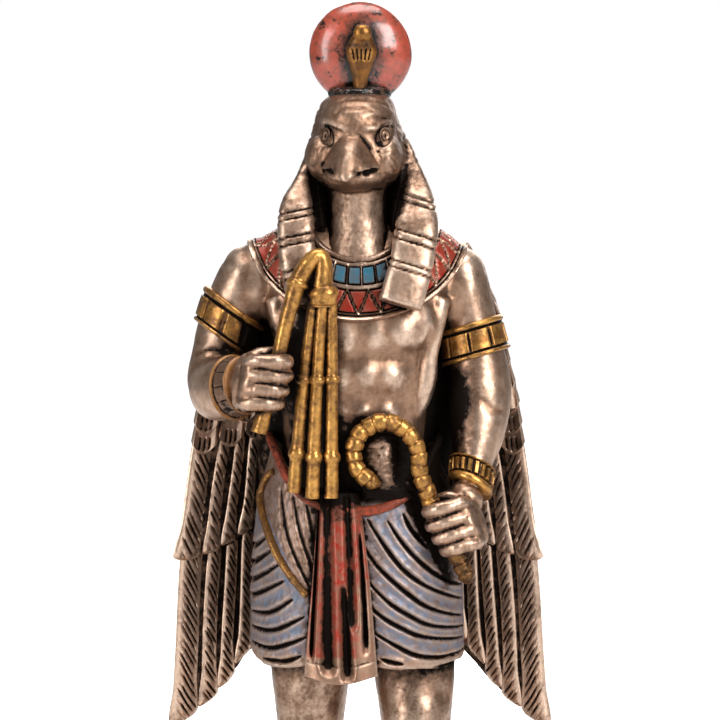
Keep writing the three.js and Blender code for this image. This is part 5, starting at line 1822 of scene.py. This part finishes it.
class FIGURINE_OT_stage(FigurineOperator, bpy.types.Operator):
    """Set the pale floor, the soft lights and the camera"""

    bl_idname = "figurine.stage"
    bl_label = "Floor, lights and camera"

    frame_width = 64.8 * MM
    aim = Vector((0.18, 0, 56.7)) * MM
    lens, sensor = 200.0, 36.0

    def light(self, name, place, size, power):
        bpy.ops.object.select_all(action="DESELECT")
        bpy.ops.object.light_add(type="AREA", location=place)
        lamp = bpy.context.active_object
        lamp.name = name
        lamp.data.shape = "RECTANGLE"
        lamp.data.size, lamp.data.size_y = size
        lamp.data.energy = power
        lamp.rotation_euler = (self.aim - Vector(place)).to_track_quat("-Z", "Y").to_euler()

    def build(self, sizes, colours):
        bpy.ops.object.select_all(action="DESELECT")
        bpy.ops.mesh.primitive_circle_add(vertices=64, radius=4, fill_type="NGON", location=(0, 0, 0))
        floor = bpy.context.active_object
        floor.name = "floor"
        white = bpy.data.materials.new("Pale floor")
        white.use_nodes = True
        pale = white.node_tree.nodes["Principled BSDF"]
        set_inputs(pale, {"Base Color": PALE_GREY, "Roughness": 0.8, "Emission Color": WHITE})
        glow = white.node_tree.nodes.new("ShaderNodeLightPath").outputs["Is Camera Ray"]
        glow = link_math(white.node_tree, "MULTIPLY", glow, 0.9)
        white.node_tree.links.new(glow, pale.inputs["Emission Strength"])
        floor.data.materials.append(white)

        world = bpy.data.worlds.new("Soft studio")
        bpy.context.scene.world = world
        world.use_nodes = True
        tree = world.node_tree
        dim = tree.nodes["Background"]
        set_inputs(dim, {"Color": DAYLIGHT, "Strength": 0.2})
        seen = tree.nodes.new("ShaderNodeBackground")
        set_inputs(seen, {"Color": WHITE, "Strength": 1.0})
        path = tree.nodes.new("ShaderNodeLightPath")
        mix = tree.nodes.new("ShaderNodeMixShader")
        tree.links.new(path.outputs["Is Camera Ray"], mix.inputs["Fac"])
        tree.links.new(dim.outputs["Background"], mix.inputs[1])
        tree.links.new(seen.outputs["Background"], mix.inputs[2])
        tree.links.new(mix.outputs["Shader"], tree.nodes["World Output"].inputs["Surface"])

        for name, settings in LIGHTS.items():
            self.light(name, *settings)
        bpy.context.scene.view_settings.view_transform = "Standard"

        bpy.ops.object.camera_add()
        camera = bpy.context.active_object
        camera.name = "camera"
        camera.data.lens = self.lens
        camera.data.sensor_width = self.sensor
        camera.data.clip_start = 0.01
        camera.data.clip_end = 20
        distance = self.frame_width * self.lens / self.sensor
        rise = sizes.camera_height
        away = Vector((0, -math.cos(rise), math.sin(rise)))
        camera.location = self.aim + away * distance
        camera.rotation_euler = (-away).to_track_quat("-Z", "Y").to_euler()
        bpy.context.scene.camera = camera
        return camera


OPERATORS = (
    FIGURINE_OT_body, FIGURINE_OT_hands, FIGURINE_OT_legs, FIGURINE_OT_head, FIGURINE_OT_headcloth,
    FIGURINE_OT_crown, FIGURINE_OT_collar, FIGURINE_OT_bands, FIGURINE_OT_flail, FIGURINE_OT_crook,
    FIGURINE_OT_kilt, FIGURINE_OT_sash, FIGURINE_OT_wings, FIGURINE_OT_base, FIGURINE_OT_ageing,
    FIGURINE_OT_stage,
)


class FIGURINE_PT_panel(bpy.types.Panel):
    """Sizes, colours and pieces of the figurine"""

    bl_idname = "FIGURINE_PT_panel"
    bl_label = "Sun god figurine"
    bl_space_type = "VIEW_3D"
    bl_region_type = "UI"
    bl_category = "Figurine"

    def draw(self, context):
        for group in (context.scene.figurine_sizes, context.scene.figurine_colours):
            box = self.layout.box()
            for name in group.__annotations__:
                box.prop(group, name)
        for operator in OPERATORS:
            self.layout.operator(operator.bl_idname)


CLASSES = (FigurineSizes, FigurineColours, *OPERATORS, FIGURINE_PT_panel)


def register():
    for cls in CLASSES:
        bpy.utils.register_class(cls)
    bpy.types.Scene.figurine_sizes = PointerProperty(type=FigurineSizes)
    bpy.types.Scene.figurine_colours = PointerProperty(type=FigurineColours)


def unregister():
    del bpy.types.Scene.figurine_colours
    del bpy.types.Scene.figurine_sizes
    for cls in reversed(CLASSES):
        bpy.utils.unregister_class(cls)


def main():
    register()
    for operator in OPERATORS:
        group, name = operator.bl_idname.split(".")
        getattr(getattr(bpy.ops, group), name)()


if __name__ == "__main__":
    main()
